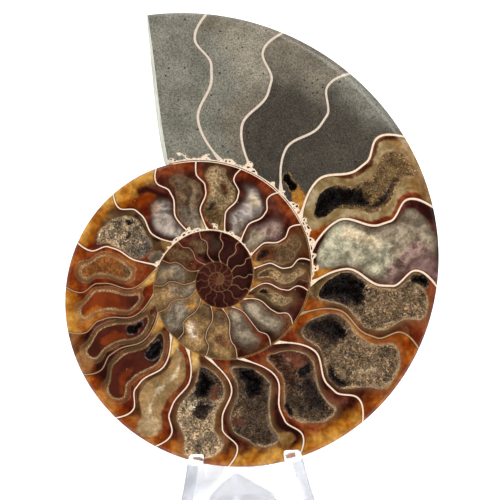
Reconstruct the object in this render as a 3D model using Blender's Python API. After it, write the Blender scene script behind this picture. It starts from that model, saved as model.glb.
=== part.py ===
"""Ammonite fossil half: a coiled shell sawn through and polished, with crystal-lined
hollows, resting in a clear moulded stand.  Metres, +Z up, the polished face to -Y."""

import math
import random

import bmesh
import bpy
from mathutils import Matrix, Vector

MM = 0.001
TOUCH_GAP = 0.3 * MM

# Where the face stands and how the photo looks at it
LEAN = math.radians(18.0)
VIEW_TURN = math.radians(-7.0)
VIEW_RISE = math.radians(18.0)
SPIRAL_CENTRE = Vector((-11.7 * MM, -5.75 * MM, 77.0 * MM))

# Venter (outer edge) radius of the coil at every eighth of a turn, in millimetres
STATION = 45.0
FIRST_STATION = -405.0
VENTER_MM = (10.1, 11.3, 13.6, 16.0, 18.2, 20.7, 23.2, 25.9, 28.0, 30.5, 34.1,
             38.8, 43.9, 49.6, 55.3, 61.3, 67.2, 73.0, 79.2, 87.4, 97.0)
INNER_GROWTH = 2.39
FULL_TURN = 360.0

# The shell's back: lines across the whorls and columns from rim to inner seam
END_ANGLE = 467.5
INNER_ANGLE = -612.5
LINE_STEP = 7.5
AFTER_END = 1.0
COLUMNS = (0.0, 0.03, 0.11, 0.26, 0.44, 0.56, 0.78, 1.0)
THICKNESS_RATIO = 0.155
FLANK_AT = 0.60
FLANK_FALL = 0.25
UMBILICUS_AT = 0.272
RIM_DROP = 0.7 * MM
RIM_BEVEL = 1.1 * MM
RIB_HEIGHT = 0.25 * MM

# The sawn end of the last whorl leans across the lines by these degrees
END_SLANT = (-2.6, 5.0, 18.0)
END_SLANT_MOST = 5.2
END_SLANT_REACH = 45.0

# Septa of the outer whorl: angle of the crest, then the dip, shoulder and rim from it
SEPTA = {
    3: (422.6, -6.1, -2.1, -5.2),
    4: (405.0, -6.6, -3.3, -7.5),
    5: (386.3, -7.5, -3.3, -7.7),
    6: (364.9, -6.9, -2.2, -6.7),
    7: (346.0, -6.1, -2.0, -5.0),
    8: (323.7, -7.4, -3.9, -8.2),
    9: (300.9, -5.5, -2.3, -6.5),
    10: (277.1, -5.4, -0.5, -3.9),
    11: (254.4, -4.4, -1.2, -5.0),
    12: (238.0, -5.2, -1.2, -4.5),
    13: (219.1, -4.3, -1.5, -4.0),
    14: (203.2, -4.3, -1.6, -4.0),
    16: (166.6, -3.5, 0.4, -1.5),
    17: (145.1, -5.4, -1.2, -4.5),
}
WALL_SWING = 9.5
CREST_AT = 0.37
DIP_AT = 0.70
SHOULDER_AT = 0.87

# Hollow chambers: the septum on either side, middle and half length up the whorl,
# share of the width that is open, sideways shift in degrees, depth, and the size of
# its crystals as a share of the largest, or 0 where it is bare
HOLLOWS = (
    (4, 5, 0.55, 0.38, 0.55, 1.0, 6.0 * MM, 0.7),
    (6, 7, 0.50, 0.42, 0.72, 0.0, 6.0 * MM, 0.8),
    (7, 8, 0.52, 0.42, 0.74, 0.0, 5.0 * MM, 0.9),
    (8, 9, 0.50, 0.42, 0.72, 0.0, 5.5 * MM, 0.8),
    (9, 10, 0.52, 0.42, 0.74, 0.0, 5.5 * MM, 0.95),
    (10, 11, 0.52, 0.44, 0.80, 0.0, 5.5 * MM, 0.9),
    (12, 13, 0.50, 0.38, 0.62, 0.0, 4.0 * MM, 0.5),
    (13, 14, 0.48, 0.36, 0.60, 0.0, 3.2 * MM, 0.3),
    (16, 17, 0.50, 0.42, 0.72, 0.0, 4.0 * MM, 0.5),
    (3, 4, 0.13, 0.065, 0.34, 3.4, 3.5 * MM, 0.0),
)
RING_POINTS = 22
RING_FULLNESS = 0.75
CUTTER_ABOVE = 1.0 * MM
PIT_PROFILE = ((0.0, 1.0), (0.30, 0.97), (0.72, 0.84), (1.0, 0.55))

# Crystal crust in a hollow
CRUST_TOP = 0.5 * MM
CRUST_GAP = 0.6 * MM
CRUST_THICK = 1.1 * MM
CRUST_RINGS = 4
CRYSTAL_HEIGHT = (0.5 * MM, 1.3 * MM)
CRYSTAL_JITTER = 0.28 * MM

# Clear stand: two side wings meeting at a spine, seen from the side as (back, up)
PLATE = 3.4 * MM
STAND_MIDDLE = 6.3 * MM
APEX_BACK = 12.0 * MM
WING_ANGLE = math.radians(26.5)
WING_STEP = 0.4 * MM
ARCH = 3.2 * MM
LEDGE_DROP = 61.05 * MM
HOOK_TOP_DROP = 57.0 * MM
HOOK_THICK = 3.8 * MM
BACK_LOW = (-37.0 * MM, -10.2 * MM)
BACK_HIGH = (34.0 * MM, -12.7 * MM)
FRONT_FOOT = (-33.5 * MM, -27.5 * MM)
REAR_FOOT = (37.0 * MM, 45.0 * MM)
REAR_FOOT_HALF = 13.0 * MM
REAR_FOOT_TALL = 3.4 * MM
WEB_FRONT = -13.9 * MM
WEB_HEIGHTS = (3.6 * MM, 6.0 * MM)

FACE_FRAME = Matrix.Translation(SPIRAL_CENTRE) @ Matrix((
    (1.0, 0.0, 0.0, 0.0),
    (0.0, math.sin(LEAN), -math.cos(LEAN), 0.0),
    (0.0, math.cos(LEAN), math.sin(LEAN), 0.0),
    (0.0, 0.0, 0.0, 1.0),
))


STAND_FRAME = Matrix.Translation((SPIRAL_CENTRE.x + STAND_MIDDLE, SPIRAL_CENTRE.y, 0.0))
CLEAR_PLASTIC = ((0.92, 0.95, 0.97), 0.05)


def photo_to_face():
    """2x2 matrix from a place seen square to the photo's line of sight to the face."""
    right = Vector((math.cos(VIEW_TURN), math.sin(VIEW_TURN), 0.0))
    look = Vector((-math.sin(VIEW_TURN) * math.cos(VIEW_RISE),
                   math.cos(VIEW_TURN) * math.cos(VIEW_RISE),
                   -math.sin(VIEW_RISE)))
    up = right.cross(look)
    along = Vector((1.0, 0.0, 0.0))
    climb = Vector((0.0, math.sin(LEAN), math.cos(LEAN)))
    seen = Matrix(((right.dot(along), right.dot(climb)), (up.dot(along), up.dot(climb))))
    return seen.inverted()


PHOTO_TO_FACE = photo_to_face()


def venter_radius(angle):
    """Radius of the coil's outer edge at a growth angle in degrees, in metres."""
    place = (angle - FIRST_STATION) / STATION
    index = math.floor(place)
    if index < 1:
        return VENTER_MM[1] * MM * INNER_GROWTH ** ((place - 1.0) / (FULL_TURN / STATION))
    index = min(index, len(VENTER_MM) - 3)
    part = place - index
    before, start, stop, after = (math.log(r) for r in VENTER_MM[index - 1:index + 3])
    smooth = 0.5 * (2.0 * start + (stop - before) * part
                    + (2.0 * before - 5.0 * start + 4.0 * stop - after) * part ** 2
                    + (3.0 * start - before - 3.0 * stop + after) * part ** 3)
    return math.exp(smooth) * MM


def whorl_radius(angle, height):
    """Radius inside one whorl: height 0 is its inner wall and 1 its outer edge."""
    inner = venter_radius(angle - FULL_TURN)
    outer = venter_radius(angle)
    return inner ** (1.0 - height) * outer ** height


def on_face(angle, radius, out=0.0):
    """Point of the face frame at a growth angle and radius, out from the face."""
    turn = math.radians(angle)
    flat = PHOTO_TO_FACE @ Vector((radius * math.cos(turn), radius * math.sin(turn)))
    return Vector((flat.x, flat.y, out))


def septum_angle(number, height):
    """Angle of a septum's wavy line at a height up the whorl."""
    crest, dip, shoulder, rim = SEPTA[number]
    if height < CREST_AT:
        return crest - WALL_SWING * (1.0 - height / CREST_AT) ** 2
    if height < DIP_AT:
        part = (height - CREST_AT) / (DIP_AT - CREST_AT)
        return crest + dip * (1.0 - math.cos(math.pi * part)) / 2.0
    if height < SHOULDER_AT:
        part = (height - DIP_AT) / (SHOULDER_AT - DIP_AT)
        return crest + dip + (shoulder - dip) * (1.0 - math.cos(math.pi * part)) / 2.0
    part = (height - SHOULDER_AT) / (1.0 - SHOULDER_AT)
    return crest + shoulder + (rim - shoulder) * (1.0 - math.cos(math.pi * part / 2.0))


def flank_height(share):
    """Half thickness of a whorl, 0 to 1, at a share of its venter radius."""
    if share >= 1.0 or share < UMBILICUS_AT:
        return 0.0
    if share >= FLANK_AT:
        return math.sqrt(1.0 - ((share - FLANK_AT) / (1.0 - FLANK_AT)) ** 2)
    return 1.0 - FLANK_FALL * ((FLANK_AT - share) / (FLANK_AT - UMBILICUS_AT)) ** 2


def back_depth(angle, radius, line_angle):
    """Depth of the shell's back under the face: the thickest whorl that covers it."""
    depth = RIM_DROP
    turns = 0
    while line_angle + FULL_TURN * turns <= END_ANGLE + 0.01:
        venter = venter_radius(angle + FULL_TURN * turns)
        rib = RIB_HEIGHT * math.cos(2.0 * math.pi * (line_angle - END_ANGLE) / (2.0 * LINE_STEP))
        flank = flank_height(radius / venter)
        depth = max(depth, flank * (THICKNESS_RATIO * venter + rib * (1.0 - radius / venter)))
        turns += 1
    return depth


def end_shift(angle, radius):
    """Degrees by which the lines near the sawn end lean across the whorl."""
    inward = 1.0 - radius / venter_radius(END_ANGLE)
    start, linear, square = END_SLANT
    slant = min(start + linear * inward + square * inward ** 2, END_SLANT_MOST)
    away = abs((angle - END_ANGLE + FULL_TURN / 2.0) % FULL_TURN - FULL_TURN / 2.0)
    return slant * max(0.0, 1.0 - away / END_SLANT_REACH)


def line_angles():
    """Growth angles of the lines, with one more just past the sawn end on each turn."""
    count = round((END_ANGLE - INNER_ANGLE) / LINE_STEP)
    angles = [END_ANGLE - LINE_STEP * step for step in range(count + 1)]
    extra = END_ANGLE + AFTER_END - FULL_TURN
    while extra > INNER_ANGLE:
        angles.append(extra)
        extra -= FULL_TURN
    return sorted(angles)


def back_point(line_angle, column):
    """Face frame point of the back where a line meets a column, and its radius."""
    radius = whorl_radius(line_angle, 1.0 - column)
    angle = line_angle + end_shift(line_angle, radius)
    radius = whorl_radius(angle, 1.0 - column)
    return on_face(angle, radius, -back_depth(angle, radius, line_angle))


def link(name, bm, colour, roughness, frame):
    """Turn a bmesh into a named object with its own material."""
    mesh = bpy.data.meshes.new(name)
    bm.to_mesh(mesh)
    bm.free()
    material = bpy.data.materials.new(name)
    material.use_nodes = True
    shader = material.node_tree.nodes["Principled BSDF"]
    shader.inputs["Base Color"].default_value = (*colour, 1.0)
    shader.inputs["Roughness"].default_value = roughness
    shader.inputs["Metallic"].default_value = 0.0
    mesh.materials.append(material)
    obj = bpy.data.objects.new(name, mesh)
    bpy.context.scene.collection.objects.link(obj)
    obj.matrix_world = frame
    return obj


def as_cutter(obj):
    """Keep a helper solid out of the render."""
    obj.hide_render = True
    obj.display_type = "WIRE"
    return obj


def add_boolean(obj, other, operation):
    """Cut or join another solid with the exact solver."""
    modifier = obj.modifiers.new(other.name, "BOOLEAN")
    modifier.operation = operation
    modifier.solver = "EXACT"
    modifier.object = other


def skin(bm, rings):
    """Join closed rings of points into one capped solid; give back its last faces."""
    loops = [[bm.verts.new(point) for point in ring] for ring in rings]
    count = len(loops[0])
    faces = []
    for low, high in zip(loops, loops[1:]):
        for i in range(count):
            j = (i + 1) % count
            faces.append(bm.faces.new((low[i], low[j], high[j], high[i])))
    bm.faces.new(list(reversed(loops[0])))
    faces.append(bm.faces.new(loops[-1]))
    return faces


def ammonite_half():
    """Flat polished face, coiled domed back with its umbilicus, and the sawn end."""
    angles = line_angles()
    last_line = len(angles) - 1
    last_column = len(COLUMNS) - 1
    bm = bmesh.new()
    bmesh.ops.create_grid(bm, x_segments=last_line, y_segments=last_column, size=0.5)
    places = {}
    for vert in bm.verts:
        line = round((vert.co.x + 0.5) * last_line)
        column = round((vert.co.y + 0.5) * last_column)
        places[(line, column)] = vert
    for (line, column), vert in places.items():
        vert.co = back_point(angles[line], COLUMNS[column])

    # The face's edge along the sawn end, from the rim corner to the inner whorl
    corner = places[(last_line, 0)]
    past_end = places[(angles.index(END_ANGLE + AFTER_END - FULL_TURN), 0)]
    edge = [corner]
    for column in range(1, last_column):
        flank = places[(last_line, column)].co
        edge.append(bm.verts.new((flank.x, flank.y, -RIM_DROP)))
    edge.append(past_end)
    flank_line = [places[(last_line, column)] for column in range(last_column + 1)]
    for column in range(last_column):
        ring = [edge[column], edge[column + 1], flank_line[column + 1], flank_line[column]]
        bm.faces.new(list(dict.fromkeys(ring)))
    bmesh.ops.remove_doubles(bm, verts=bm.verts, dist=0.01 * MM)

    # Two open loops are left: the middle of the umbilicus and the face itself
    bmesh.ops.holes_fill(bm, edges=[e for e in bm.edges if e.is_boundary], sides=0)
    bmesh.ops.recalc_face_normals(bm, faces=bm.faces)
    face = max(bm.faces, key=lambda f: f.calc_area())
    if face.normal.z < 0.0:
        bmesh.ops.reverse_faces(bm, faces=bm.faces)
    bmesh.ops.inset_individual(bm, faces=[face], thickness=RIM_BEVEL, depth=RIM_DROP,
                               use_even_offset=True)
    for polygon in bm.faces:
        polygon.smooth = polygon.calc_area() < 0.001
    obj = link("ammonite_half", bm, (0.30, 0.19, 0.10), 0.25, FACE_FRAME)
    obj.data.set_sharp_from_angle(angle=math.radians(35.0))
    return obj


def hollow_ring(hollow, depth_share, out, inset):
    """Ring of points around a hollow at one depth, drawn in from its full outline."""
    high, low, middle, half_length, open_share, shift, _, _ = hollow
    centre_angle = (septum_angle(high, middle) + septum_angle(low, middle)) / 2.0 + shift
    whorl_height = whorl_radius(centre_angle, 1.0) - whorl_radius(centre_angle, 0.0)
    reach = half_length * depth_share - inset / whorl_height
    points = []
    for step in range(RING_POINTS):
        turn = 2.0 * math.pi * (step + 0.5) / RING_POINTS
        height = middle + reach * math.cos(turn)
        left = septum_angle(high, height)
        right = septum_angle(low, height)
        radius = whorl_radius((left + right) / 2.0, height)
        half_width = radius * math.radians(left - right) / 2.0 * open_share * depth_share - inset
        side = math.copysign(abs(math.sin(turn)) ** RING_FULLNESS, math.sin(turn))
        angle = (left + right) / 2.0 + shift + math.degrees(side * half_width / radius)
        points.append(on_face(angle, radius, out))
    return points


def profile_share(part):
    """How far a hollow has narrowed at a part of its depth."""
    for (top, wide), (bottom, narrow) in zip(PIT_PROFILE, PIT_PROFILE[1:]):
        if part <= bottom:
            return wide + (narrow - wide) * (part - top) / (bottom - top)
    return PIT_PROFILE[-1][1]


def hollow_cutters():
    """One helper solid per hollow, in a single mesh."""
    bm = bmesh.new()
    for hollow in HOLLOWS:
        depth = hollow[6]
        rings = [hollow_ring(hollow, 1.0, CUTTER_ABOVE, 0.0)]
        rings += [hollow_ring(hollow, share, -part * depth, 0.0)
                  for part, share in PIT_PROFILE]
        skin(bm, rings)
    bmesh.ops.recalc_face_normals(bm, faces=bm.faces)
    return as_cutter(link("hollow_cutters", bm, (0.1, 0.1, 0.1), 0.5, FACE_FRAME))


def crystal_crust(name, hollow, rng):
    """Lining of a hollow: a thin bowl whose inner side is a field of pointed crystals."""
    depth, size = hollow[6:]
    floor = depth - TOUCH_GAP
    thick = CRUST_THICK * size
    jitter = CRYSTAL_JITTER * size
    outer = [hollow_ring(hollow, share, -min(part * depth, floor), CRUST_GAP)
             for part, share in reversed(PIT_PROFILE[1:])]
    outer.append(hollow_ring(hollow, profile_share(CRUST_TOP / depth), -CRUST_TOP, CRUST_GAP))
    inner = []
    for step in range(CRUST_RINGS + 1):
        part = step / CRUST_RINGS
        drop = CRUST_TOP + part * (floor - thick - CRUST_TOP)
        share = profile_share(drop / depth) * (1.0 - 0.25 * part)
        ring = hollow_ring(hollow, share, -drop, CRUST_GAP + thick)
        if step:
            ring = [p + Vector([rng.uniform(-1.0, 1.0) * jitter for _ in range(3)])
                    for p in ring]
        inner.append(ring)
    bm = bmesh.new()
    faces = skin(bm, outer + inner)
    bmesh.ops.recalc_face_normals(bm, faces=bm.faces)
    crystal_faces = faces[len(outer) * RING_POINTS:]
    for face in crystal_faces:
        bmesh.ops.poke(bm, faces=[face], offset=size * rng.uniform(*CRYSTAL_HEIGHT))
    return link(name, bm, (0.62, 0.47, 0.30), 0.35, FACE_FRAME)


def side_point(up_face, out):
    """(back, up) of a place on the face frame, for the stand's side view."""
    back = up_face * math.sin(LEAN) - out * math.cos(LEAN)
    up = SPIRAL_CENTRE.z + up_face * math.cos(LEAN) + out * math.sin(LEAN)
    return back, up


def back_edge_up(back):
    """Height of the sloping edge that the shell leans on, at a distance back."""
    low = side_point(*BACK_LOW)
    high = side_point(*BACK_HIGH)
    return low[1] + (high[1] - low[1]) * (back - low[0]) / (high[0] - low[0])


def wing_outline():
    """Side view of a wing: foot, leg, hook, ledge and the edge behind the shell."""
    hook_middle = TOUCH_GAP + HOOK_THICK / 2.0
    tip = [side_point(-HOOK_TOP_DROP - HOOK_THICK / 2.0 * (1.0 - math.cos(turn)),
                      hook_middle + HOOK_THICK / 2.0 * math.sin(turn))
           for turn in (math.radians(a) for a in (80.0, 40.0, 0.0, -40.0, -80.0))]
    end = APEX_BACK + 0.6 * MM
    return ([(FRONT_FOOT[0], 0.0), (FRONT_FOOT[0] + 0.8 * MM, 2.4 * MM),
             (-28.9 * MM, 9.0 * MM), (-25.4 * MM, 15.0 * MM)]
            + tip
            + [side_point(-LEDGE_DROP, TOUCH_GAP), side_point(-LEDGE_DROP, -8.0 * MM),
               side_point(-50.0 * MM, -11.8 * MM), side_point(*BACK_LOW),
               (end, back_edge_up(end) - WING_STEP), (end, ARCH),
               (-22.0 * MM, ARCH), (FRONT_FOOT[1], 0.0)])


def plate(outline, offset_at, thickness):
    """Upright plate from a side outline; its middle lies offset_at(back) to the right."""
    bm = bmesh.new()
    face = bm.faces.new([bm.verts.new((offset_at(back) - thickness / 2.0, back, up))
                         for back, up in outline])
    grown = bmesh.ops.extrude_face_region(bm, geom=[face])
    moved = [item for item in grown["geom"] if isinstance(item, bmesh.types.BMVert)]
    bmesh.ops.translate(bm, verts=moved, vec=(thickness, 0.0, 0.0))
    bmesh.ops.recalc_face_normals(bm, faces=bm.faces)
    return bm


def wings():
    """Both side wings as one solid, splayed from the spine towards the front."""
    bm = plate(wing_outline(),
               lambda back: (APEX_BACK - back) * math.tan(WING_ANGLE),
               PLATE / math.cos(WING_ANGLE))
    bmesh.ops.bisect_plane(bm, geom=[*bm.verts, *bm.edges, *bm.faces], plane_co=(0.0, 0.0, 0.0),
                           plane_no=(1.0, 0.0, 0.0), clear_inner=True)
    bmesh.ops.mirror(bm, geom=[*bm.verts, *bm.edges, *bm.faces], matrix=Matrix.Identity(4),
                     merge_dist=0.01 * MM, axis="X")
    bmesh.ops.recalc_face_normals(bm, faces=bm.faces)
    return as_cutter(link("wings", bm, *CLEAR_PLASTIC, STAND_FRAME))


def flat_plate(name, outline, low, high):
    """Level plate from a plan outline of (right, back) places."""
    bm = bmesh.new()
    face = bm.faces.new([bm.verts.new((right, back, low)) for right, back in outline])
    grown = bmesh.ops.extrude_face_region(bm, geom=[face])
    moved = [item for item in grown["geom"] if isinstance(item, bmesh.types.BMVert)]
    bmesh.ops.translate(bm, verts=moved, vec=(0.0, 0.0, high - low))
    bmesh.ops.recalc_face_normals(bm, faces=bm.faces)
    return as_cutter(link(name, bm, *CLEAR_PLASTIC, STAND_FRAME))


def display_stand():
    """Clear stand: spine plate with two wings, the low web and the rear foot."""
    start = APEX_BACK - 1.0 * MM
    top = side_point(*BACK_HIGH)
    outline = [(start, ARCH + 0.3 * MM), (REAR_FOOT[0] - 2.0 * MM, ARCH + 0.3 * MM),
               (REAR_FOOT[0] + 1.0 * MM, 1.2 * MM), (REAR_FOOT[1] - 1.0 * MM, 1.2 * MM),
               (REAR_FOOT[1] - 1.2 * MM, 4.6 * MM),
               (top[0] + 4.6 * MM, top[1] - 1.6 * MM), (top[0] + 3.0 * MM, top[1] + 0.8 * MM),
               top, (start, back_edge_up(start))]
    spine = plate(outline, lambda back: 0.0, PLATE)
    stand = link("display_stand", spine, *CLEAR_PLASTIC, STAND_FRAME)
    add_boolean(stand, wings(), "UNION")
    web_half = (APEX_BACK - WEB_FRONT) * math.tan(WING_ANGLE)
    web = flat_plate("web", [(0.0, APEX_BACK), (-web_half, WEB_FRONT), (web_half, WEB_FRONT)],
                     *WEB_HEIGHTS)
    add_boolean(stand, web, "UNION")
    foot = flat_plate("rear_foot", [(-REAR_FOOT_HALF, REAR_FOOT[0]), (REAR_FOOT_HALF, REAR_FOOT[0]),
                                    (REAR_FOOT_HALF, REAR_FOOT[1]), (-REAR_FOOT_HALF, REAR_FOOT[1])],
                      0.0, REAR_FOOT_TALL)
    add_boolean(stand, foot, "UNION")
    return stand


def main():
    for obj in list(bpy.data.objects):
        bpy.data.objects.remove(obj, do_unlink=True)
    fossil = ammonite_half()
    add_boolean(fossil, hollow_cutters(), "DIFFERENCE")
    rng = random.Random(7)
    lined = [hollow for hollow in HOLLOWS if hollow[7]]
    for number, hollow in enumerate(lined, start=1):
        crystal_crust(f"crystal_crust_{number}", hollow, rng)
    display_stand()


main()
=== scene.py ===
"""Ammonite fossil half: the polished face, its crystal-lined chambers and the clear stand."""

import math
import random

import bmesh
import bpy
import numpy as np
from mathutils import Matrix, Vector, noise


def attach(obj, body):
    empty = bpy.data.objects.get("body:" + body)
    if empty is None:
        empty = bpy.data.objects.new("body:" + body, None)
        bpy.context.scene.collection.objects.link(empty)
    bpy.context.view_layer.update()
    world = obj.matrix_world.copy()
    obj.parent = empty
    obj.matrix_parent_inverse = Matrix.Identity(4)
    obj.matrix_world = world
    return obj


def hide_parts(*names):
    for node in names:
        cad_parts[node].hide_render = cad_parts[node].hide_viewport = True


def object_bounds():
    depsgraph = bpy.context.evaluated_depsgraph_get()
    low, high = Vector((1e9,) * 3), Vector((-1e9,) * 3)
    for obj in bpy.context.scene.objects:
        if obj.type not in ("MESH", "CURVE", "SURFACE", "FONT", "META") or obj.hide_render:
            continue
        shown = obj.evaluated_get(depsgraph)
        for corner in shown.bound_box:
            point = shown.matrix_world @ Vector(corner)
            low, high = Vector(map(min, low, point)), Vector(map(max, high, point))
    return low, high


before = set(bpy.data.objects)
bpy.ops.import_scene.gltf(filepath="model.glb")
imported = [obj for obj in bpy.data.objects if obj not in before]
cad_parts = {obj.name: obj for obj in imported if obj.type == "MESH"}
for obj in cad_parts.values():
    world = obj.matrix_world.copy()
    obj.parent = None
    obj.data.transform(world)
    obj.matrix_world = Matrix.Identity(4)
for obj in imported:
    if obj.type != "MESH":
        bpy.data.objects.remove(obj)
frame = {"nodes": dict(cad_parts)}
CAD_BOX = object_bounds()

bl_info = {
    "name": "Ammonite Half on a Clear Stand",
    "version": (1, 0, 0),
    "blender": (4, 5, 0),
    "location": "View3D > Sidebar > Ammonite",
    "description": "Builds a sawn and polished ammonite half in a clear display stand",
    "category": "Add Mesh",
}

MM = 0.001
FULL_TURN = 360.0

WHITE = (1.0, 1.0, 1.0)

# Times that light may turn inside the clear stand before it is lost
BOUNCES = 24

# Floor's reach in sizes of the object, and how it glows where it isn't seen through the stand
FLOOR_REACH = 20.0
FLOOR_GLOW = 0.55

# Where the backlight weakens: sideways in the room, as part of a direction, and on the floor
ROOM_SIDES = (0.35, 0.9)
FLOOR_SIDES = (0.07, 0.20)

# How near the direction that the face mirrors the room darkens, and to which share
MIRRORED = (0.82, 0.97)
MIRRORED_SKY = 0.05

# Lights: place from the picture's middle, width, the setting of its power, and its share of that
LIGHTS = (
    ("overhead_light", (-0.15, -0.25, 1.3), 1.1, "overhead", 1.0),
    ("left_light", (-1.2, -0.30, 0.45), 0.8, "side", 1.0),
    ("right_light", (1.15, 0.35, 0.55), 0.9, "side", 0.4),
    ("rim_light", (0.57, -0.86, 0.80), 0.42, "rim", 1.0),
)

# Grains of the finishes: waves to a metre, detail, distortion and offset
GRAINS = {
    "coarse": (150.0, 5.0, 0.6, 0.0),
    "cloud": (200.0, 5.0, 0.3, 3.0),
    "grain": (2600.0, 2.0, 0.0, 7.0),
    "fleck": (700.0, 3.0, 0.0, 9.0),
    "speck": (1500.0, 3.0, 0.0, 6.0),
    "thread": (230.0, 6.0, 0.3, 12.0),
    "sand": (2000.0, 4.0, 0.0, 1.0),
    "drift": (70.0, 3.0, 0.8, 4.0),
    "shell_coarse": (45.0, 5.0, 0.5, 0.0),
    "frill": (150.0, 6.0, 0.0, 5.0),
    "shell_grain": (1500.0, 3.0, 0.0, 2.0),
    "sawn_coarse": (140.0, 4.0, 0.0, 4.0),
    "sawn_grain": (2200.0, 4.0, 0.0, 0.0),
    "crystal_grain": (3200.0, 2.0, 0.0, 0.0),
    "ripple": (60.0, 1.0, 0.0, 0.0),
    "floor": (30.0, 2.0, 0.0, 0.0),
}
NOISE_RANGE = (0.3, 0.7)

# Cells to a metre: pale specks of dust and painted glint, dark specks, and the holes and domes of the
# lace
DUST_AND_GLINT_CELLS = 330.0
SPECK_CELLS = 360.0
LACE_CELLS = 740.0
DOME_CELLS = 330.0

# Heights of the fine relief
FACE_BUMP = 0.25 * MM
BACK_BUMP = 0.4 * MM
SAWN_BUMP = 0.3 * MM
STAND_BUMP = 0.5 * MM

# Bends sharper than these, in degrees, are shaded or bevelled as edges
SHELL_SHARP = 50.0
STAND_SHARP = 40.0
STAND_BEVELLED = 25.0
STAND_FLAT = 1.0

# Where the face stands and how the photo looks at it
LEAN = math.radians(18.0)
VIEW_TURN = math.radians(-7.0)
VIEW_RISE = math.radians(18.0)
SPIRAL_CENTRE = Vector((-11.7 * MM, -5.75 * MM, 77.0 * MM))
FACE_FRAME = Matrix.Translation(SPIRAL_CENTRE) @ Matrix((
    (1.0, 0.0, 0.0, 0.0),
    (0.0, math.sin(LEAN), -math.cos(LEAN), 0.0),
    (0.0, math.cos(LEAN), math.sin(LEAN), 0.0),
    (0.0, 0.0, 0.0, 1.0),
))

# Venter (outer edge) radius of the coil at every eighth of a turn, in millimetres
STATION = 45.0
FIRST_STATION = -405.0
VENTER_MM = (10.1, 11.3, 13.6, 16.0, 18.2, 20.7, 23.2, 25.9, 28.0, 30.5, 34.1,
             38.8, 43.9, 49.6, 55.3, 61.3, 67.2, 73.0, 79.2, 87.4, 97.0)
LOG_VENTER = np.log(np.array(VENTER_MM))
INNER_GROWTH = 2.39

# The shell's back, as in the solid model but finer
END_ANGLE = 467.5
INNER_ANGLE = -612.5
LINE_STEP = 2.5
RIB_SPACING = 15.0
AFTER_END = 1.0
BACK_COLUMNS = 24
BACK_CROWDING = 1.25
THICKNESS_RATIO = 0.155
FLANK_AT = 0.60
FLANK_FALL = 0.25
UMBILICUS_AT = 0.272
RIM_DROP = 0.9 * MM
RIM_WALL = 0.35 * MM
NARROW_RIM_DROP = 0.45 * MM
RIM_BEVEL = 1.2 * MM
WIDE_BEVEL = 3.0 * MM
WIDE_BEVEL_AT = 412.0
WIDE_BEVEL_REACH = 42.0
RIB_HEIGHT = 0.25 * MM
MOST_TURNS = 4
END_SLANT = (-2.6, 5.0, 18.0)
END_SLANT_MOST = 5.2
END_SLANT_REACH = 45.0

# Septa from the sawn end inwards: crest angle, swing at the inner wall, then the dip,
# shoulder and rim measured from the crest, in degrees
SEPTA = (
    (457.1, 9.5, -5.3, -1.6, -4.6), (441.2, 10.0, -6.2, -2.3, -5.9),
    (422.6, 10.0, -6.1, -2.1, -5.2), (405.0, 9.5, -6.6, -3.3, -7.5),
    (386.3, 9.5, -7.5, -3.3, -7.7), (364.9, 8.0, -6.9, -2.2, -6.7),
    (346.0, 9.0, -6.1, -2.0, -5.0), (323.7, 11.5, -7.4, -3.9, -8.2),
    (300.9, 16.0, -5.5, -2.3, -6.5), (277.1, 16.0, -5.4, -0.5, -3.9),
    (254.4, 9.5, -4.4, -1.2, -5.0), (238.0, 9.5, -5.2, -1.2, -4.5),
    (219.1, 10.5, -4.3, -1.5, -4.0), (203.2, 12.0, -4.3, -1.6, -4.0),
    (185.6, 19.0, -4.0, -0.4, -3.0), (166.6, 1.0, -3.5, 0.4, -1.5),
    (145.1, 7.5, -5.4, -1.2, -4.5), (124.0, 4.0, -5.4, -1.7, -5.0),
    (104.4, 3.2, -6.6, -2.8, -4.0), (83.7, 2.0, -7.1, -2.6, -5.5),
    (61.5, 2.0, -6.7, -2.8, -6.0), (39.0, 2.5, -7.0, -2.9, -5.5),
    (18.3, 0.5, -8.4, -3.8, -6.5), (-3.8, 17.0, -4.6, -0.5, -3.0),
    (-25.8, 12.5, -3.3, 0.0, -5.0), (-51.2, 12.5, -0.5, 3.0, 0.0),
    (-74.3, 8.0, -3.6, -1.2, -2.0), (-97.9, 8.0, -4.4, 0.0, -1.0),
    (-125.2, 8.5, -4.0, 2.0, 1.0), (-149.4, 8.0, -5.4, -1.5, -2.0),
    (-172.5, 6.0, -5.4, -1.4, -2.5), (-197.7, 10.0, -5.3, -1.5, -2.0),
    (-222.9, 9.0, -5.5, 0.0, -1.0), (-248.0, 9.0, -5.4, 0.0, -1.0),
    (-272.0, 9.0, -6.0, -1.0, -2.0), (-296.0, 8.0, -6.0, -1.0, -3.0),
)
INNER_SEPTA = 26
INNER_SEPTUM_STEP = 26.5
INNER_SEPTUM = (7.0, -6.0, -1.0, -3.0)
CREST_AT = 0.37
DIP_AT = 0.67
DIP_END = 0.74
SHOULDER_AT = 0.87
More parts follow.
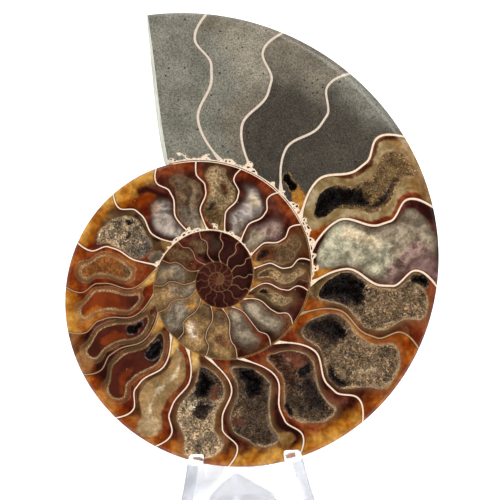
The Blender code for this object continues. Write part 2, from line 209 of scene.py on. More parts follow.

# Each chamber from the sawn end inwards: finish at its left and right wall, at the rim, in
# the corner at its base, and in the upper and lower part of its filling; then the filling's
# middle and half size across and up the chamber, its depth in millimetres where it is
# open, and how plainly its pale outline shows
# Pitch and dusk fillings of open chambers are painted shade in their hollows
CHAMBERS = (
    ("mud", "mud", "mud", "mud", "mud", "mud", 0.5, 0.0, 0.5, 0.0, 0.0, 0.0),
    ("mud", "earth", "earth", "earth", "mud", "mud", 0.5, 0.0, 0.5, 0.0, 0.0, 0.0),
    # Chamber 2's lighter earth rim is a painted sheen where the polished rim mirrors the light
    ("slate", "slate", "earth", "slate", "slate", "slate", 0.5, 0.0, 0.5, 0.0, 0.0, 0.0),
    ("slate", "slate", "slate", "slate", "slate", "slate", 0.5, 0.0, 0.5, 0.0, 0.0, 0.0),
    ("wheat", "wheat", "tan", "amber", "sepia", "pitch", 0.50, 0.27, 0.57, 0.38, 3.0, 0.9),
    ("maroon", "maroon", "maroon", "gold", "haze", "mist", 0.49, 0.46, 0.53, 0.46, 0.0, 0.0),
    ("olive", "brown", "rust", "amber", "sand", "dusk", 0.46, 0.40, 0.55, 0.42, 1.6, 0.9),
    ("amber", "maroon", "amber", "rust", "sand", "umber", 0.49, 0.41, 0.55, 0.41, 1.6, 0.8),
    ("maroon", "rust", "gold", "rust", "umber", "brown", 0.52, 0.36, 0.49, 0.37, 1.8, 0.9),
    ("maroon", "maroon", "gold", "rust", "umber", "umber", 0.52, 0.34, 0.50, 0.38, 1.6, 0.9),
    ("brown", "maroon", "amber", "honey", "oat", "umber", 0.50, 0.36, 0.57, 0.41, 1.6, 0.9),
    ("rust", "brown", "amber", "honey", "tan", "tan", 0.52, 0.34, 0.52, 0.42, 0.0, 0.3),
    ("rust", "maroon", "amber", "honey", "maroon", "wine", 0.50, 0.30, 0.52, 0.40, 0.0, 1.0),
    ("maroon", "maroon", "russet", "tan", "maroon", "maroon", 0.50, 0.27, 0.55, 0.36, 0.0, 1.0),
    ("rust", "rust", "gold", "honey", "rust", "maroon", 0.52, 0.26, 0.57, 0.32, 0.0, 1.3),
    ("rust", "rust", "amber", "umber", "russet", "umber", 0.50, 0.24, 0.64, 0.26, 0.0, 1.4),
    ("rust", "umber", "gold", "tan", "oat", "stone", 0.45, 0.40, 0.57, 0.31, 1.8, 0.3),
    ("maroon", "maroon", "gold", "brown", "cloud", "cloud", 0.56, 0.42, 0.36, 0.36, 0.0, 0.0),
    ("maroon", "maroon", "rust", "pale", "umber", "stone", 0.50, 0.38, 0.46, 0.42, 0.0, 0.2),
    ("rust", "maroon", "maroon", "tan", "beige", "olive", 0.52, 0.40, 0.52, 0.44, 0.0, 0.3),
    ("maroon", "maroon", "rust", "tan", "cloud", "cloud", 0.54, 0.42, 0.46, 0.44, 0.0, 0.0),
    ("maroon", "maroon", "rust", "gold", "plum", "haze", 0.56, 0.40, 0.42, 0.40, 0.0, 0.0),
    ("rust", "brown", "brown", "gold", "umber", "brown", 0.48, 0.36, 0.52, 0.40, 0.0, 0.6),
    ("maroon", "maroon", "maroon", "gold", "beige", "umber", 0.47, 0.20, 0.52, 0.38, 0.0, 1.0),
    ("maroon", "wine", "maroon", "gold", "beige", "umber", 0.48, 0.20, 0.54, 0.30, 0.0, 0.9),
    ("brown", "wine", "brown", "gold", "haze", "haze", 0.52, 0.40, 0.52, 0.42, 0.0, 0.0),
    ("rust", "wine", "brown", "gold", "haze", "haze", 0.52, 0.42, 0.50, 0.42, 0.0, 0.0),
    ("brown", "umber", "olive", "gold", "tan", "umber", 0.50, 0.44, 0.52, 0.46, 0.0, 0.0),
    ("umber", "olive", "olive", "gold", "tan", "umber", 0.50, 0.46, 0.52, 0.48, 0.0, 0.0),
    ("umber", "tan", "olive", "gold", "stone", "tan", 0.50, 0.46, 0.52, 0.48, 0.0, 0.0),
    ("umber", "umber", "olive", "gold", "tan", "stone", 0.50, 0.46, 0.52, 0.48, 0.0, 0.0),
    ("olive", "umber", "umber", "brown", "stone", "olive", 0.50, 0.44, 0.55, 0.44, 0.0, 0.0),
    ("brown", "maroon", "brown", "maroon", "umber", "maroon", 0.50, 0.40, 0.66, 0.30, 0.0, 0.0),
    ("maroon", "wine", "maroon", "wine", "umber", "wine", 0.50, 0.36, 0.62, 0.26, 0.0, 0.0),
    ("maroon", "wine", "maroon", "wine", "dusk", "wine", 0.50, 0.34, 0.60, 0.28, 0.0, 0.0),
)
INNER_CHAMBER = ("maroon", "wine", "maroon", "wine", "wine", "wine",
                 0.50, 0.34, 0.52, 0.34, 0.0, 0.0)

# Patches and deeper holes: chamber, middle across and up it, half size across and up it,
# finish, and depth in millimetres (0 where it is only colour)
# Pitch and dusk patches with a depth are painted shade in the holes
PATCHES = (
    # The earth patch at the rim of chamber 2 and the mud patch at the rim of chamber 3 are a painted
    # sheen along the polished rim
    (2, 0.30, 1.02, 1.00, 0.26, "earth", 0.0), (1, 0.75, 0.90, 0.40, 0.25, "dust_and_glint", 0.0),
    (3, 0.72, 0.10, 0.30, 0.10, "gold", 0.0), (3, 0.20, 1.0, 0.80, 0.13, "mud", 0.0),
    (4, 0.48, 0.45, 0.20, 0.26, "pitch", 5.8), (4, 0.45, 0.80, 0.24, 0.17, "sepia", 2.6),
    (4, 0.66, 0.74, 0.06, 0.12, "umber", 4.6), (4, 0.05, 0.72, 0.05, 0.24, "brown", 0.0),
    (4, 0.95, 0.72, 0.05, 0.26, "rust", 0.0),
    (5, 0.52, 0.60, 0.30, 0.12, "mist", 0.0), (5, 0.80, 0.84, 0.24, 0.16, "plum", 0.0),
    (5, 0.30, 0.50, 0.14, 0.16, "pale", 0.0),
    (6, 0.13, 0.90, 0.07, 0.05, "pitch", 5.2), (6, 0.42, 0.36, 0.26, 0.21, "pitch", 5.6),
    (6, 0.20, 0.44, 0.10, 0.12, "pitch", 5.8), (6, 0.80, 0.15, 0.12, 0.04, "amber", 0.0),
    (7, 0.55, 0.80, 0.08, 0.05, "oat", 0.8), (7, 0.83, 0.66, 0.08, 0.10, "dusk", 4.2),
    (7, 0.42, 0.35, 0.24, 0.15, "dusk", 4.4), (7, 0.30, 0.44, 0.10, 0.10, "pitch", 4.8),
    (7, 0.10, 0.15, 0.12, 0.10, "amber", 0.0),
    (8, 0.36, 0.64, 0.16, 0.14, "dusk", 2.8), (8, 0.84, 0.67, 0.06, 0.06, "pitch", 3.6),
    (8, 0.76, 0.76, 0.05, 0.06, "sand", 0.6), (8, 0.38, 0.31, 0.15, 0.13, "ember", 1.2),
    (8, 0.38, 0.46, 0.16, 0.04, "pitch", 3.2),
    (9, 0.22, 0.87, 0.13, 0.06, "tan", 0.0), (9, 0.48, 0.32, 0.22, 0.17, "pitch", 5.4),
    (9, 0.72, 0.68, 0.10, 0.04, "rust", 1.0), (9, 0.70, 0.60, 0.10, 0.05, "sand", 0.9),
    (10, 0.60, 0.36, 0.20, 0.15, "pitch", 5.6), (10, 0.34, 0.43, 0.10, 0.08, "ember", 1.2),
    (10, 0.42, 0.60, 0.20, 0.08, "dusk", 3.0), (10, 0.64, 0.60, 0.06, 0.09, "pale", 1.4),
    (11, 0.52, 0.52, 0.05, 0.30, "pale", 0.0), (11, 0.48, 0.90, 0.22, 0.08, "oat", 0.0),
    (12, 0.50, 0.33, 0.16, 0.12, "pitch", 3.6), (12, 0.40, 0.74, 0.12, 0.10, "rust", 0.0),
    (13, 0.56, 0.38, 0.14, 0.10, "pitch", 3.2), (13, 0.40, 0.64, 0.14, 0.12, "rust", 0.0),
    (14, 0.20, 0.80, 0.20, 0.12, "amber", 0.0), (15, 0.85, 0.55, 0.14, 0.20, "amber", 0.0),
    (16, 0.70, 0.72, 0.08, 0.05, "pitch", 3.4), (16, 0.42, 0.60, 0.12, 0.04, "dusk", 2.8),
    (16, 0.28, 0.13, 0.24, 0.11, "stone", 0.0), (16, 0.90, 0.45, 0.05, 0.30, "pitch", 0.0),
    (17, 0.26, 0.90, 0.26, 0.10, "gold", 0.0), (17, 0.34, 0.76, 0.30, 0.10, "amber", 0.0),
    (17, 0.30, 0.64, 0.34, 0.08, "rust", 0.0),
    (18, 0.55, 0.50, 0.10, 0.16, "dusk", 0.0), (18, 0.62, 0.56, 0.05, 0.10, "beige", 0.0),
    (19, 0.40, 0.45, 0.10, 0.06, "dusk", 0.0), (19, 0.50, 0.34, 0.12, 0.04, "brown", 0.0),
    (19, 0.55, 0.72, 0.10, 0.05, "brown", 0.0), (20, 0.52, 0.74, 0.16, 0.06, "pale", 0.0),
    (22, 0.48, 0.34, 0.18, 0.16, "pitch", 0.0), (23, 0.46, 0.52, 0.04, 0.30, "sand", 0.0),
    (24, 0.46, 0.34, 0.12, 0.10, "pitch", 0.0), (25, 0.50, 0.60, 0.04, 0.14, "stone", 0.0),
    (26, 0.52, 0.52, 0.10, 0.08, "stone", 0.0), (27, 0.40, 0.76, 0.20, 0.12, "brown", 0.0),
    (28, 0.60, 0.75, 0.20, 0.10, "blush", 0.0), (29, 0.45, 0.40, 0.25, 0.12, "gold", 0.0),
    (30, 0.50, 0.60, 0.25, 0.14, "stone", 0.0), (31, 0.40, 0.80, 0.20, 0.10, "tan", 0.0),
)
BARE_FINISHES = ("ember", "rust", "gold", "oat")
HAZE = {"cloud": 1.0, "mist": 0.5, "haze": 0.6, "plum": 0.6, "stone": 0.3, "tan": 0.1}
GRIT = {"oat": 0.8, "sand": 0.8, "beige": 0.8, "umber": 0.6, "stone": 0.6, "tan": 0.35, "olive": 0.5,
        "haze": 0.45, "mist": 0.15}
SPARSE_CHAMBERS = (12, 13)
SPARSE = 0.15

# Hole of overlapping lobes in the mudstone: right of and above the spiral's middle, and radius, as seen
# square to the photo's line of sight, in millimetres; then its depth and the tan rim around it
HOLE_CHAMBER = 3
HOLE_LOBES = ((22.8, 33.8, 1.3), (23.7, 32.4, 1.15), (24.8, 31.0, 1.45))
HOLE_DEPTH = 4.0
HOLE_RIM = 0.45
SOFT_FINISHES = ("earth", "dust_and_glint", "mud")

# Widths of the walls, as shares of their size, at chamber numbers from the sawn end inwards
WIDTH_AT = (0.0, 4.0, 7.0, 9.0, 13.0, 17.0, 22.0, 26.0, 34.0)
SEPTUM_WIDTHS = (1.0, 0.82, 0.70, 0.52, 0.46, 0.46, 0.42, 0.22, 0.18)
WHORL_WIDTHS = (1.0, 1.0, 0.65, 0.60, 0.55, 0.90, 0.80, 0.45, 0.30)
PROTOCONCH = 1.3

# Which chambers hold each crystal crust of the solid model
CRUSTED_CHAMBERS = (4, 6, 7, 8, 9, 10, 12, 13, 16)
THIN_SEPTA = (7, 13, 14, 15)
LACE_CHAMBERS = (0, 1, 2, 3, 4, 5, 16, 17, 18, 19, 20, 21)
FIRST_LOW_LACE = 16
LOW_LACE = 0.8
MUD_CHAMBERS = (0, 1, 2, 3)
HAZY_CHAMBERS = (5, 17, 20, 21, 25, 26, 27, 28, 29, 30, 31)

# Mesh fineness: columns across a chamber and rows up the whorl
OPEN_COLUMNS = 42
FILLED_COLUMNS = 20
MUD_COLUMNS = 14
SECOND_COLUMNS = 14
INNER_COLUMNS = 6
FINE_CHAMBERS = (3, 5)
FIRST_SECOND_WHORL = 18
FIRST_INNER_WHORL = 35
ROWS = 76
SEAM_HEIGHT = 0.006
RIM_ROWS = (0.003, 0.009, 0.017)
EYE_POWER = 2.6
COARSE_WAVES = 300.0
FINE_WAVES = 900.0
SOFT_MUD = 9.0
SOFT_HAZE = 2.6
SOFT_EDGE = 0.8
PIT_WALL = 1.1
DEEPEST = 0.72
NO_WALL = 50.0

# Vertices of the back nearer than this are one
MERGE = 0.004 * MM

# Crystals grow where a hollow is this deep, in millimetres, and are painted lighter in shallow parts,
# so that deeper ones keep a painted shade
CRYSTAL_SEED = 11
LEAST_PIT = 0.45
SHALLOW = 1.5
SHALLOW_PAINTED_LIGHT = 0.9

# Longest crystal, as a share of the depth of its hollow, so that few reach out of the face
CRYSTAL_REACH = 1.1

# One crystal: its shortest share of the longest, girth and tip as shares of its length and
# girth, how far it stands up, how much it leans, and its painted shade at the foot and painted light at
# the tip
SHORTEST = 0.35
GIRTHS = (0.28, 0.48)
TIP = 0.12
RAISED = 0.22
LEANING = 0.45
FOOT_SHADE = 0.7
TIP_HIGHLIGHT = 1.25

# How much one crystal is lighter or darker than the next, in shallow and in deep hollows
SPREAD = 0.75
VELVET_DEPTH = 2.4
VELVET_SPREAD = 0.35

# Lighter and darker clusters of crystals and greyer single ones: waves to a metre, and strength
CLUSTER_WAVES = 320.0
CLUSTER = 0.75
GREY_WAVES = 1400.0
GREY = 0.38


def frame_size():
    """Longest side of the solid model, from which the stage takes its reach."""
    low, high = CAD_BOX
    return max(high - low)


def tint(name, about, value):
    """Colour setting of a finish."""
    return bpy.props.FloatVectorProperty(name=name, description=about, default=value, size=3,
                                         min=0.0, max=1.0, subtype="COLOR_GAMMA")


class FossilColours(bpy.types.PropertyGroup):
    """Finishes of the polished face, as seen in daylight."""

    cream: tint("Cream", "Shell walls between the chambers", (0.90, 0.81, 0.71))
    pale: tint("Pale", "Milky calcite", (0.74, 0.67, 0.54))
    blush: tint("Blush", "Shell walls in the mudstone", (0.82, 0.75, 0.68))
    cloud: tint("Cloud", "Grey-white calcite", (0.51, 0.475, 0.46))
    mist: tint("Mist", "Grey-green calcite", (0.63, 0.615, 0.51))
    haze: tint("Haze", "Dim grey calcite", (0.48, 0.43, 0.35))
    plum: tint("Plum", "Purple-grey calcite", (0.42, 0.31, 0.29))
    wheat: tint("Wheat", "Olive-grey calcite", (0.55, 0.47, 0.33))
    oat: tint("Oat", "Palest crystal druse", (0.67, 0.565, 0.42))
    sand: tint("Sand", "Bright crystal druse", (0.54, 0.43, 0.295))
    sepia: tint("Sepia", "Golden brown crystals", (0.56, 0.43, 0.24))
    russet: tint("Russet", "Clouded red-brown calcite", (0.45, 0.265, 0.12))
    honey: tint("Honey", "Bright yellow calcite", (0.75, 0.585, 0.32))
    stone: tint("Stone", "Smooth grey filling", (0.455, 0.405, 0.34))
    tan: tint("Tan", "Honey-grey calcite", (0.55, 0.43, 0.27))
    beige: tint("Beige", "Crystal druse", (0.52, 0.43, 0.31))
    gold: tint("Gold", "Clear golden calcite", (0.66, 0.44, 0.15))
    amber: tint("Amber", "Deep golden calcite", (0.56, 0.30, 0.08))
    ember: tint("Ember", "Glowing orange calcite", (0.43, 0.19, 0.01))
    rust: tint("Rust", "Red-brown calcite", (0.42, 0.17, 0.06))
    brown: tint("Brown", "Dark brown calcite", (0.33, 0.18, 0.09))
    maroon: tint("Maroon", "Dark red-brown calcite", (0.26, 0.10, 0.06))
    wine: tint("Wine", "Darkest red calcite", (0.17, 0.07, 0.05))
    umber: tint("Umber", "Brown-grey calcite", (0.35, 0.26, 0.17))
    olive: tint("Olive", "Greenish brown calcite", (0.36, 0.28, 0.17))
    dusk: tint("Dusk", "Shaded hollow", (0.22, 0.15, 0.11))
    # Pitch: black of the mudstone specks and the lace cells, and painted shade in deep hollows
    pitch: tint("Pitch", "Deep hollow", (0.10, 0.055, 0.03))
    mud: tint("Mudstone", "Grey-green mudstone", (0.445, 0.435, 0.39))
    earth: tint("Earth", "Browner mudstone", (0.43, 0.40, 0.345))
    dust_and_glint: tint("Dust", "Lighter mudstone", (0.53, 0.50, 0.44))
    chalk: tint("Chalk", "Sawn surface", (0.77, 0.78, 0.72))
    slate: tint("Slate", "Dark mudstone", (0.24, 0.22, 0.19))


class FossilSizes(bpy.types.PropertyGroup):
    """Widths and finish of the fossil's visible lines and crystals."""

    septum: bpy.props.FloatProperty(
        name="Septum", description="Width of the walls between chambers",
        default=0.85 * MM, min=0.2 * MM, unit="LENGTH")
    wall: bpy.props.FloatProperty(
        name="Whorl wall", description="Width of the wall between whorls",
        default=1.0 * MM, min=0.2 * MM, unit="LENGTH")
    crystal: bpy.props.FloatProperty(
        name="Crystal", description="Length of the longest crystals in the hollows",
        default=1.5 * MM, min=0.2 * MM, unit="LENGTH")
    spacing: bpy.props.FloatProperty(
        name="Crystal spacing", description="Distance from one crystal to the next",
        default=0.58 * MM, min=0.2 * MM, unit="LENGTH")
    polish: bpy.props.FloatProperty(
        name="Polish", description="Roughness of the polished face",
        default=0.22, min=0.0, max=1.0, subtype="FACTOR")


class StandSizes(bpy.types.PropertyGroup):
    """Finish of the clear stand."""

    bevel: bpy.props.FloatProperty(
        name="Edge", description="Rounding of the stand's edges",
        default=1.6 * MM, min=0.0, unit="LENGTH")
    polish: bpy.props.FloatProperty(
        name="Polish", description="Roughness of the moulded plastic",
        default=0.27, min=0.0, max=1.0, subtype="FACTOR")
    tint: bpy.props.FloatVectorProperty(
        name="Tint", description="Colour seen through thick plastic", size=3,
        default=(0.84, 0.88, 0.98), min=0.0, max=1.0, subtype="COLOR")
    density: bpy.props.FloatProperty(
        name="Density", description="Strength of the tint per metre", default=17.0, min=0.0)
    ior: bpy.props.FloatProperty(
        name="IOR", description="Refraction of the plastic", default=1.49, min=1.0)


class StageSizes(bpy.types.PropertyGroup):
    """Floor, lights and camera."""

    distance: bpy.props.FloatProperty(
        name="Camera distance", description="From the camera to the fossil",
        default=1.2, min=0.2, unit="LENGTH")
    frame: bpy.props.FloatProperty(
        name="Frame", description="Width of the picture at the fossil",
        default=0.165, min=0.01, unit="LENGTH")
    aim: bpy.props.FloatVectorProperty(
        name="Aim", description="Picture's middle, right of and above the spiral's middle",
        size=2, default=(10.56 * MM, 9.9 * MM), unit="LENGTH")
    overhead: bpy.props.FloatProperty(
        name="Overhead light", description="Power of the softbox above",
        default=8.5, min=0.0, unit="POWER")
    side: bpy.props.FloatProperty(
        name="Side light", description="Power of the softboxes at the sides",
        default=4.5, min=0.0, unit="POWER")
    rim: bpy.props.FloatProperty(
        name="Rim light", description="Power of the small lamp that glints along the rim",
        default=4.0, min=0.0, unit="POWER")
    sky: bpy.props.FloatProperty(
        name="Room light", description="Strength of the light all round",
        default=0.70, min=0.0)
    through: bpy.props.FloatProperty(
        name="Backlight", description="Strength of the room seen through the clear stand",
        default=1.10, min=0.0)
    aside: bpy.props.FloatProperty(
        name="Backlight aside", description="The same towards the sides, where edges turn light",
        default=0.72, min=0.0)


def linear(colour):
    """Daylight colour turned into the shader's linear values."""
    value = np.array(colour, float)
    return np.where(value <= 0.04045, value / 12.92, ((value + 0.055) / 1.055) ** 2.4)


def photo_to_face():
    """2x2 matrix from a place seen square to the photo's line of sight to the face."""
    right, look, up = sight()
    along = Vector((1.0, 0.0, 0.0))
    climb = Vector((0.0, math.sin(LEAN), math.cos(LEAN)))
    seen = Matrix(((right.dot(along), right.dot(climb)), (up.dot(along), up.dot(climb))))
    return seen.inverted()


def sight():
    """Right, forward and up directions of the photo's view."""
    right = Vector((math.cos(VIEW_TURN), math.sin(VIEW_TURN), 0.0))
    look = Vector((-math.sin(VIEW_TURN) * math.cos(VIEW_RISE),
                   math.cos(VIEW_TURN) * math.cos(VIEW_RISE),
                   -math.sin(VIEW_RISE)))
    return right, look, right.cross(look)


def venter_radius(angle):
    """Radius of the coil's outer edge at growth angles in degrees, in metres."""
    place = (np.asarray(angle, float) - FIRST_STATION) / STATION
    index = np.clip(np.floor(place).astype(int), 1, len(VENTER_MM) - 3)
    part = place - index
    before, start, stop, after = (LOG_VENTER[index + step] for step in (-1, 0, 1, 2))
    smooth = 0.5 * (2.0 * start + (stop - before) * part
                    + (2.0 * before - 5.0 * start + 4.0 * stop - after) * part ** 2
                    + (3.0 * start - before - 3.0 * stop + after) * part ** 3)
    inner = LOG_VENTER[1] + math.log(INNER_GROWTH) * (place - 1.0) * STATION / FULL_TURN
    return np.exp(np.where(place < 1.0, inner, smooth)) * MM


def whorl_radius(angle, height):
    """Radius inside one whorl: height 0 is its inner wall and 1 its outer edge."""
    inner = venter_radius(np.asarray(angle) - FULL_TURN)
    return inner ** (1.0 - height) * venter_radius(angle) ** height


TO_FACE = np.array(photo_to_face())


def on_face(angle, radius, out):
    """World places of face points at growth angles and radii, out from the face."""
    turn = np.radians(angle)
    flat = np.stack((radius * np.cos(turn), radius * np.sin(turn)), axis=-1) @ TO_FACE.T
    local = np.concatenate((flat, np.broadcast_to(out, turn.shape)[..., None]), axis=-1)
    turned = np.array(FACE_FRAME.to_3x3())
    return local @ turned.T + np.array(SPIRAL_CENTRE)


def blend(one, other, share):
    """Colours mixed point by point."""
    return one * (1.0 - share[..., None]) + other * share[..., None]


def ease(part):
    """Smooth step from 0 to 1."""
    return (1.0 - np.cos(math.pi * np.clip(part, 0.0, 1.0))) / 2.0


def septum_rows():
    """Every septum's angles, with the ones of the inner whorls evenly spaced."""
    rows = [(0.0,) * 5, *SEPTA]
    last = SEPTA[-1][0]
    rows += [(last - INNER_SEPTUM_STEP * step, *INNER_SEPTUM)
             for step in range(1, INNER_SEPTA + 1)]
    return np.array(rows)


SEPTUM_ROWS = septum_rows()


def end_slant(radius):
    """Degrees by which the sawn end leans forward at a radius of the last whorl."""
    inward = 1.0 - radius / venter_radius(END_ANGLE)
    start, first, second = END_SLANT
    return np.minimum(start + first * inward + second * inward ** 2, END_SLANT_MOST)


def septum_angle(number, height):
    """Angle of a septum's wavy line at a height up the whorl; 0 is the sawn end."""
    crest, swing, dip, shoulder, rim = np.moveaxis(SEPTUM_ROWS[number], -1, 0)
    low = crest - swing * (1.0 - np.clip(height / CREST_AT, 0.0, 1.0)) ** 2
    fall = dip * ease((height - CREST_AT) / (DIP_AT - CREST_AT))
    rise = (shoulder - dip) * ease((height - DIP_END) / (SHOULDER_AT - DIP_END))
    rest = np.clip((height - SHOULDER_AT) / (1.0 - SHOULDER_AT), 0.0, 1.0)
    last = (rim - shoulder) * (1.0 - np.cos(math.pi / 2.0 * rest))
    sawn = END_ANGLE + end_slant(whorl_radius(END_ANGLE, height))
    return np.where(number == 0, sawn, low + fall + rise + last)


def chamber_rows():
    """Every chamber's finishes and filling, the inner ones alike."""
    rows = list(CHAMBERS)
    while len(rows) < len(SEPTUM_ROWS) - 1:
        rows.append(INNER_CHAMBER)
    return rows


def face_columns():
    """Chamber number and part of its width for every column of the face, sawn end first."""
    numbers = []
    parts = []
    for number, row in enumerate(chamber_rows()):
        count = FILLED_COLUMNS
        if number in MUD_CHAMBERS:
            count = MUD_COLUMNS
        if row[10] > 0.0 or number in FINE_CHAMBERS:
            count = OPEN_COLUMNS
        if number >= FIRST_SECOND_WHORL:
            count = SECOND_COLUMNS
        if number >= FIRST_INNER_WHORL:
            count = INNER_COLUMNS
        edge = 0.04 if count > INNER_COLUMNS else 0.12
        parts += [0.0, *np.linspace(edge, 1.0 - edge, count - 1)]
        numbers += [number] * count
    return np.array(numbers + [numbers[-1]]), np.array(parts + [1.0])


def face_rows():
    """Heights up the whorl, evenly spaced over its width and closer at the rim."""
    even = np.linspace(SEAM_HEIGHT, 1.0, ROWS)[:-1]
    rim = 1.0 - np.array(sorted(RIM_ROWS, reverse=True))
    share = np.concatenate((even[even < rim[0] - 0.004], rim, [1.0]))
    return np.log(1.0 + share * (INNER_GROWTH - 1.0)) / math.log(INNER_GROWTH)


def flank_height(share):
    """Half thickness of a whorl, 0 to 1, at shares of its venter radius."""
    share = np.asarray(share, float)
    dome = np.sqrt(np.clip(1.0 - ((share - FLANK_AT) / (1.0 - FLANK_AT)) ** 2, 0.0, 1.0))
    fall = 1.0 - FLANK_FALL * ((FLANK_AT - share) / (FLANK_AT - UMBILICUS_AT)) ** 2
    height = np.where(share >= FLANK_AT, dome, fall)
    return np.where((share >= 1.0) | (share < UMBILICUS_AT), 0.0, height)


def back_depth(angle, radius, line_angle):
    """Depth of the shell's back under the face: the thickest whorl that covers it."""
    depth = np.full(np.shape(radius), RIM_DROP + RIM_WALL)
    rib = RIB_HEIGHT * np.cos(2.0 * math.pi * (line_angle - END_ANGLE) / RIB_SPACING)
    for turns in range(MOST_TURNS):
        venter = venter_radius(angle + FULL_TURN * turns)
        flank = flank_height(radius / venter)
        here = flank * (THICKNESS_RATIO * venter + rib * (1.0 - radius / venter))
        inside = line_angle + FULL_TURN * turns <= END_ANGLE + 0.01
        depth = np.where(inside, np.maximum(depth, here), depth)
    return depth


def end_shift(angle, radius):
    """Degrees by which the lines near the sawn end lean across the whorl."""
    away = np.abs((angle - END_ANGLE + FULL_TURN / 2.0) % FULL_TURN - FULL_TURN / 2.0)
    return end_slant(radius) * np.clip(1.0 - away / END_SLANT_REACH, 0.0, 1.0)


def finish_share(table, rows):
    """Highest share that a table gives to the finishes of each chamber's filling."""
    return np.array([max(table.get(name, 0.0) for name in row[4:6]) for row in rows])


class Face:
    """Everything that is worked out for the points of the polished face."""

    def __init__(self, palette):
        self.numbers, self.parts = face_columns()
        self.heights = face_rows()
        number = self.numbers[:, None]
        part = self.parts[:, None]
        height = self.heights[None, :]
        high = septum_angle(number, height)
        low = septum_angle(number + 1, height)
        self.angle = high + (low - high) * part
        self.radius = whorl_radius(self.angle, height)
        self.lay_distances(number, height, high, low)
        self.lay_waves()
        self.lay_filling(number, part, height)
        self.lay_finishes(palette, number, part, height)
        self.out = -(self.pit + self.rim_drop(height)) * MM
        self.place = on_face(self.angle, self.radius, self.out)

    def lay_distances(self, number, height, high, low):
        """Millimetres to the septa on either side and to the whorl's walls."""
        step = 0.01
        slope = np.radians(septum_angle(number, height + step)
                           - septum_angle(number, height - step)) / (2.0 * step)
        square = 1.0 / np.sqrt(1.0 + (slope / math.log(INNER_GROWTH)) ** 2)
        across = self.radius * square / MM
        self.to_high = across * np.radians(high - self.angle)
        self.to_low = across * np.radians(self.angle - low)
        self.wide = across * np.radians(high - low)
        inner = venter_radius(self.angle - FULL_TURN)
        outer = venter_radius(self.angle)
        self.to_inner = (self.radius - inner) / MM
        self.to_outer = (outer - self.radius) / MM
        self.tall = (outer - inner) / MM
        self.covered = self.angle < END_ANGLE + END_SLANT_MOST - FULL_TURN

    def lay_waves(self):
        """Smooth noise over the face, coarse and fine."""
        flat = on_face(self.angle, self.radius, 0.0).reshape(-1, 3)
        self.coarse = self.wave(flat, COARSE_WAVES)
        self.fine = self.wave(flat, FINE_WAVES)

    def wave(self, places, scale):
        values = [noise.noise(Vector(place) * scale) for place in places]
        return np.array(values).reshape(self.angle.shape)

    def lay_filling(self, number, part, height):
        """Millimetres inside each chamber's filling, and the depth of the hollows."""
        rows = np.array([row[6:] for row in chamber_rows()])[number]
        middle, half, centre, reach, depth, outline = np.moveaxis(rows, -1, 0)
        self.edge = self.inside(part, height, middle, half, centre, reach)
        self.outline = outline
        wobble = self.edge + 0.9 * self.coarse + 0.45 * self.fine
        self.pit = depth * ease(wobble / PIT_WALL) * (1.0 + 0.35 * self.coarse)
        self.hollow = depth > 0.0
        for chamber, middle, centre, half, reach, _, deep in PATCHES:
            if deep > 0.0:
                here = number == chamber
                edge = self.inside(part, height, middle, half, centre, reach)
                wobble = edge + 0.8 * self.coarse + 0.5 * self.fine
                hole = deep * ease((wobble + 0.3) / (1.6 * PIT_WALL))
                self.pit = np.where(here, np.maximum(self.pit, hole), self.pit)
        self.lobes = np.where(number == HOLE_CHAMBER, self.inside_hole(), -9.0)
        self.pit = np.maximum(self.pit, HOLE_DEPTH * ease(self.lobes / 0.5))
        most = back_depth(self.angle, self.radius, self.angle) / MM * DEEPEST
        self.pit = np.minimum(self.pit, most)

    def inside_hole(self):
        """Millimetres inside the hole of overlapping lobes."""
        turn = np.radians(self.angle)
        across = self.radius * np.cos(turn) / MM
        up = self.radius * np.sin(turn) / MM
        lobes = [radius - np.hypot(across - x, up - y) for x, y, radius in HOLE_LOBES]
        return np.max(lobes, axis=0)

    def inside(self, part, height, middle, half, centre, reach):
        """Rough millimetres inside a rounded patch of a chamber."""
        half = np.maximum(half, 1e-3)
        reach = np.maximum(reach, 1e-3)
        wide = half * self.wide
        tall = reach * self.tall
        side = np.abs((part - middle) / half)
        end = np.abs((height - centre) / reach)
        share = np.maximum((side ** EYE_POWER + end ** EYE_POWER) ** (1.0 / EYE_POWER), 0.02)
        power = EYE_POWER - 1.0
        slope = np.hypot((side / share) ** power / wide, (end / share) ** power / tall)
        return np.minimum((1.0 - share) / slope, np.minimum(wide, tall))

    def lay_finishes(self, palette, number, part, height):
        """Ground and filling colour of every point."""
        rows = chamber_rows()
        table = np.array([[palette[name] for name in row[:6]] for row in rows])[number]
        left, right, top, base, upper, lower = np.moveaxis(table, -2, 0)
        sway = 0.12 * self.coarse + 0.05 * self.fine
        ground = blend(left, right, ease((part + sway - 0.35) / 0.3))
        ground = blend(ground, top, ease((height + sway * 0.3 - 0.86) / 0.10))
        corner = ease(((part - 0.42) / 0.58 - height / 0.27 + sway) * 3.0 + 0.5)
        ground = blend(ground, base, corner)
        filling = blend(lower, upper, ease((height + sway - 0.36) / 0.22))
        self.grow = self.hollow * np.ones(self.angle.shape)
        self.grow = np.where(np.isin(number, SPARSE_CHAMBERS), SPARSE, self.grow)
        for chamber, middle, centre, half, reach, name, deep in PATCHES:
            edge = self.inside(part, height, middle, half, centre, reach)
            wide = SOFT_MUD if name in SOFT_FINISHES else SOFT_EDGE
            if chamber in HAZY_CHAMBERS:
                wide = SOFT_HAZE
            soft = ease((edge + 0.9 * self.coarse + 0.6 * self.fine) / wide + 0.4)
            soft = np.where(number == chamber, soft, 0.0)
            filling = blend(filling, palette[name], soft)
            ground = blend(ground, palette[name], soft)
            if name in BARE_FINISHES:
                self.grow = self.grow * (1.0 - soft)
        self.haze = finish_share(HAZE, rows)[number]
        self.grit = finish_share(GRIT, rows)[number]
        ground = blend(ground, palette["tan"], ease((self.lobes + HOLE_RIM) / 0.3))
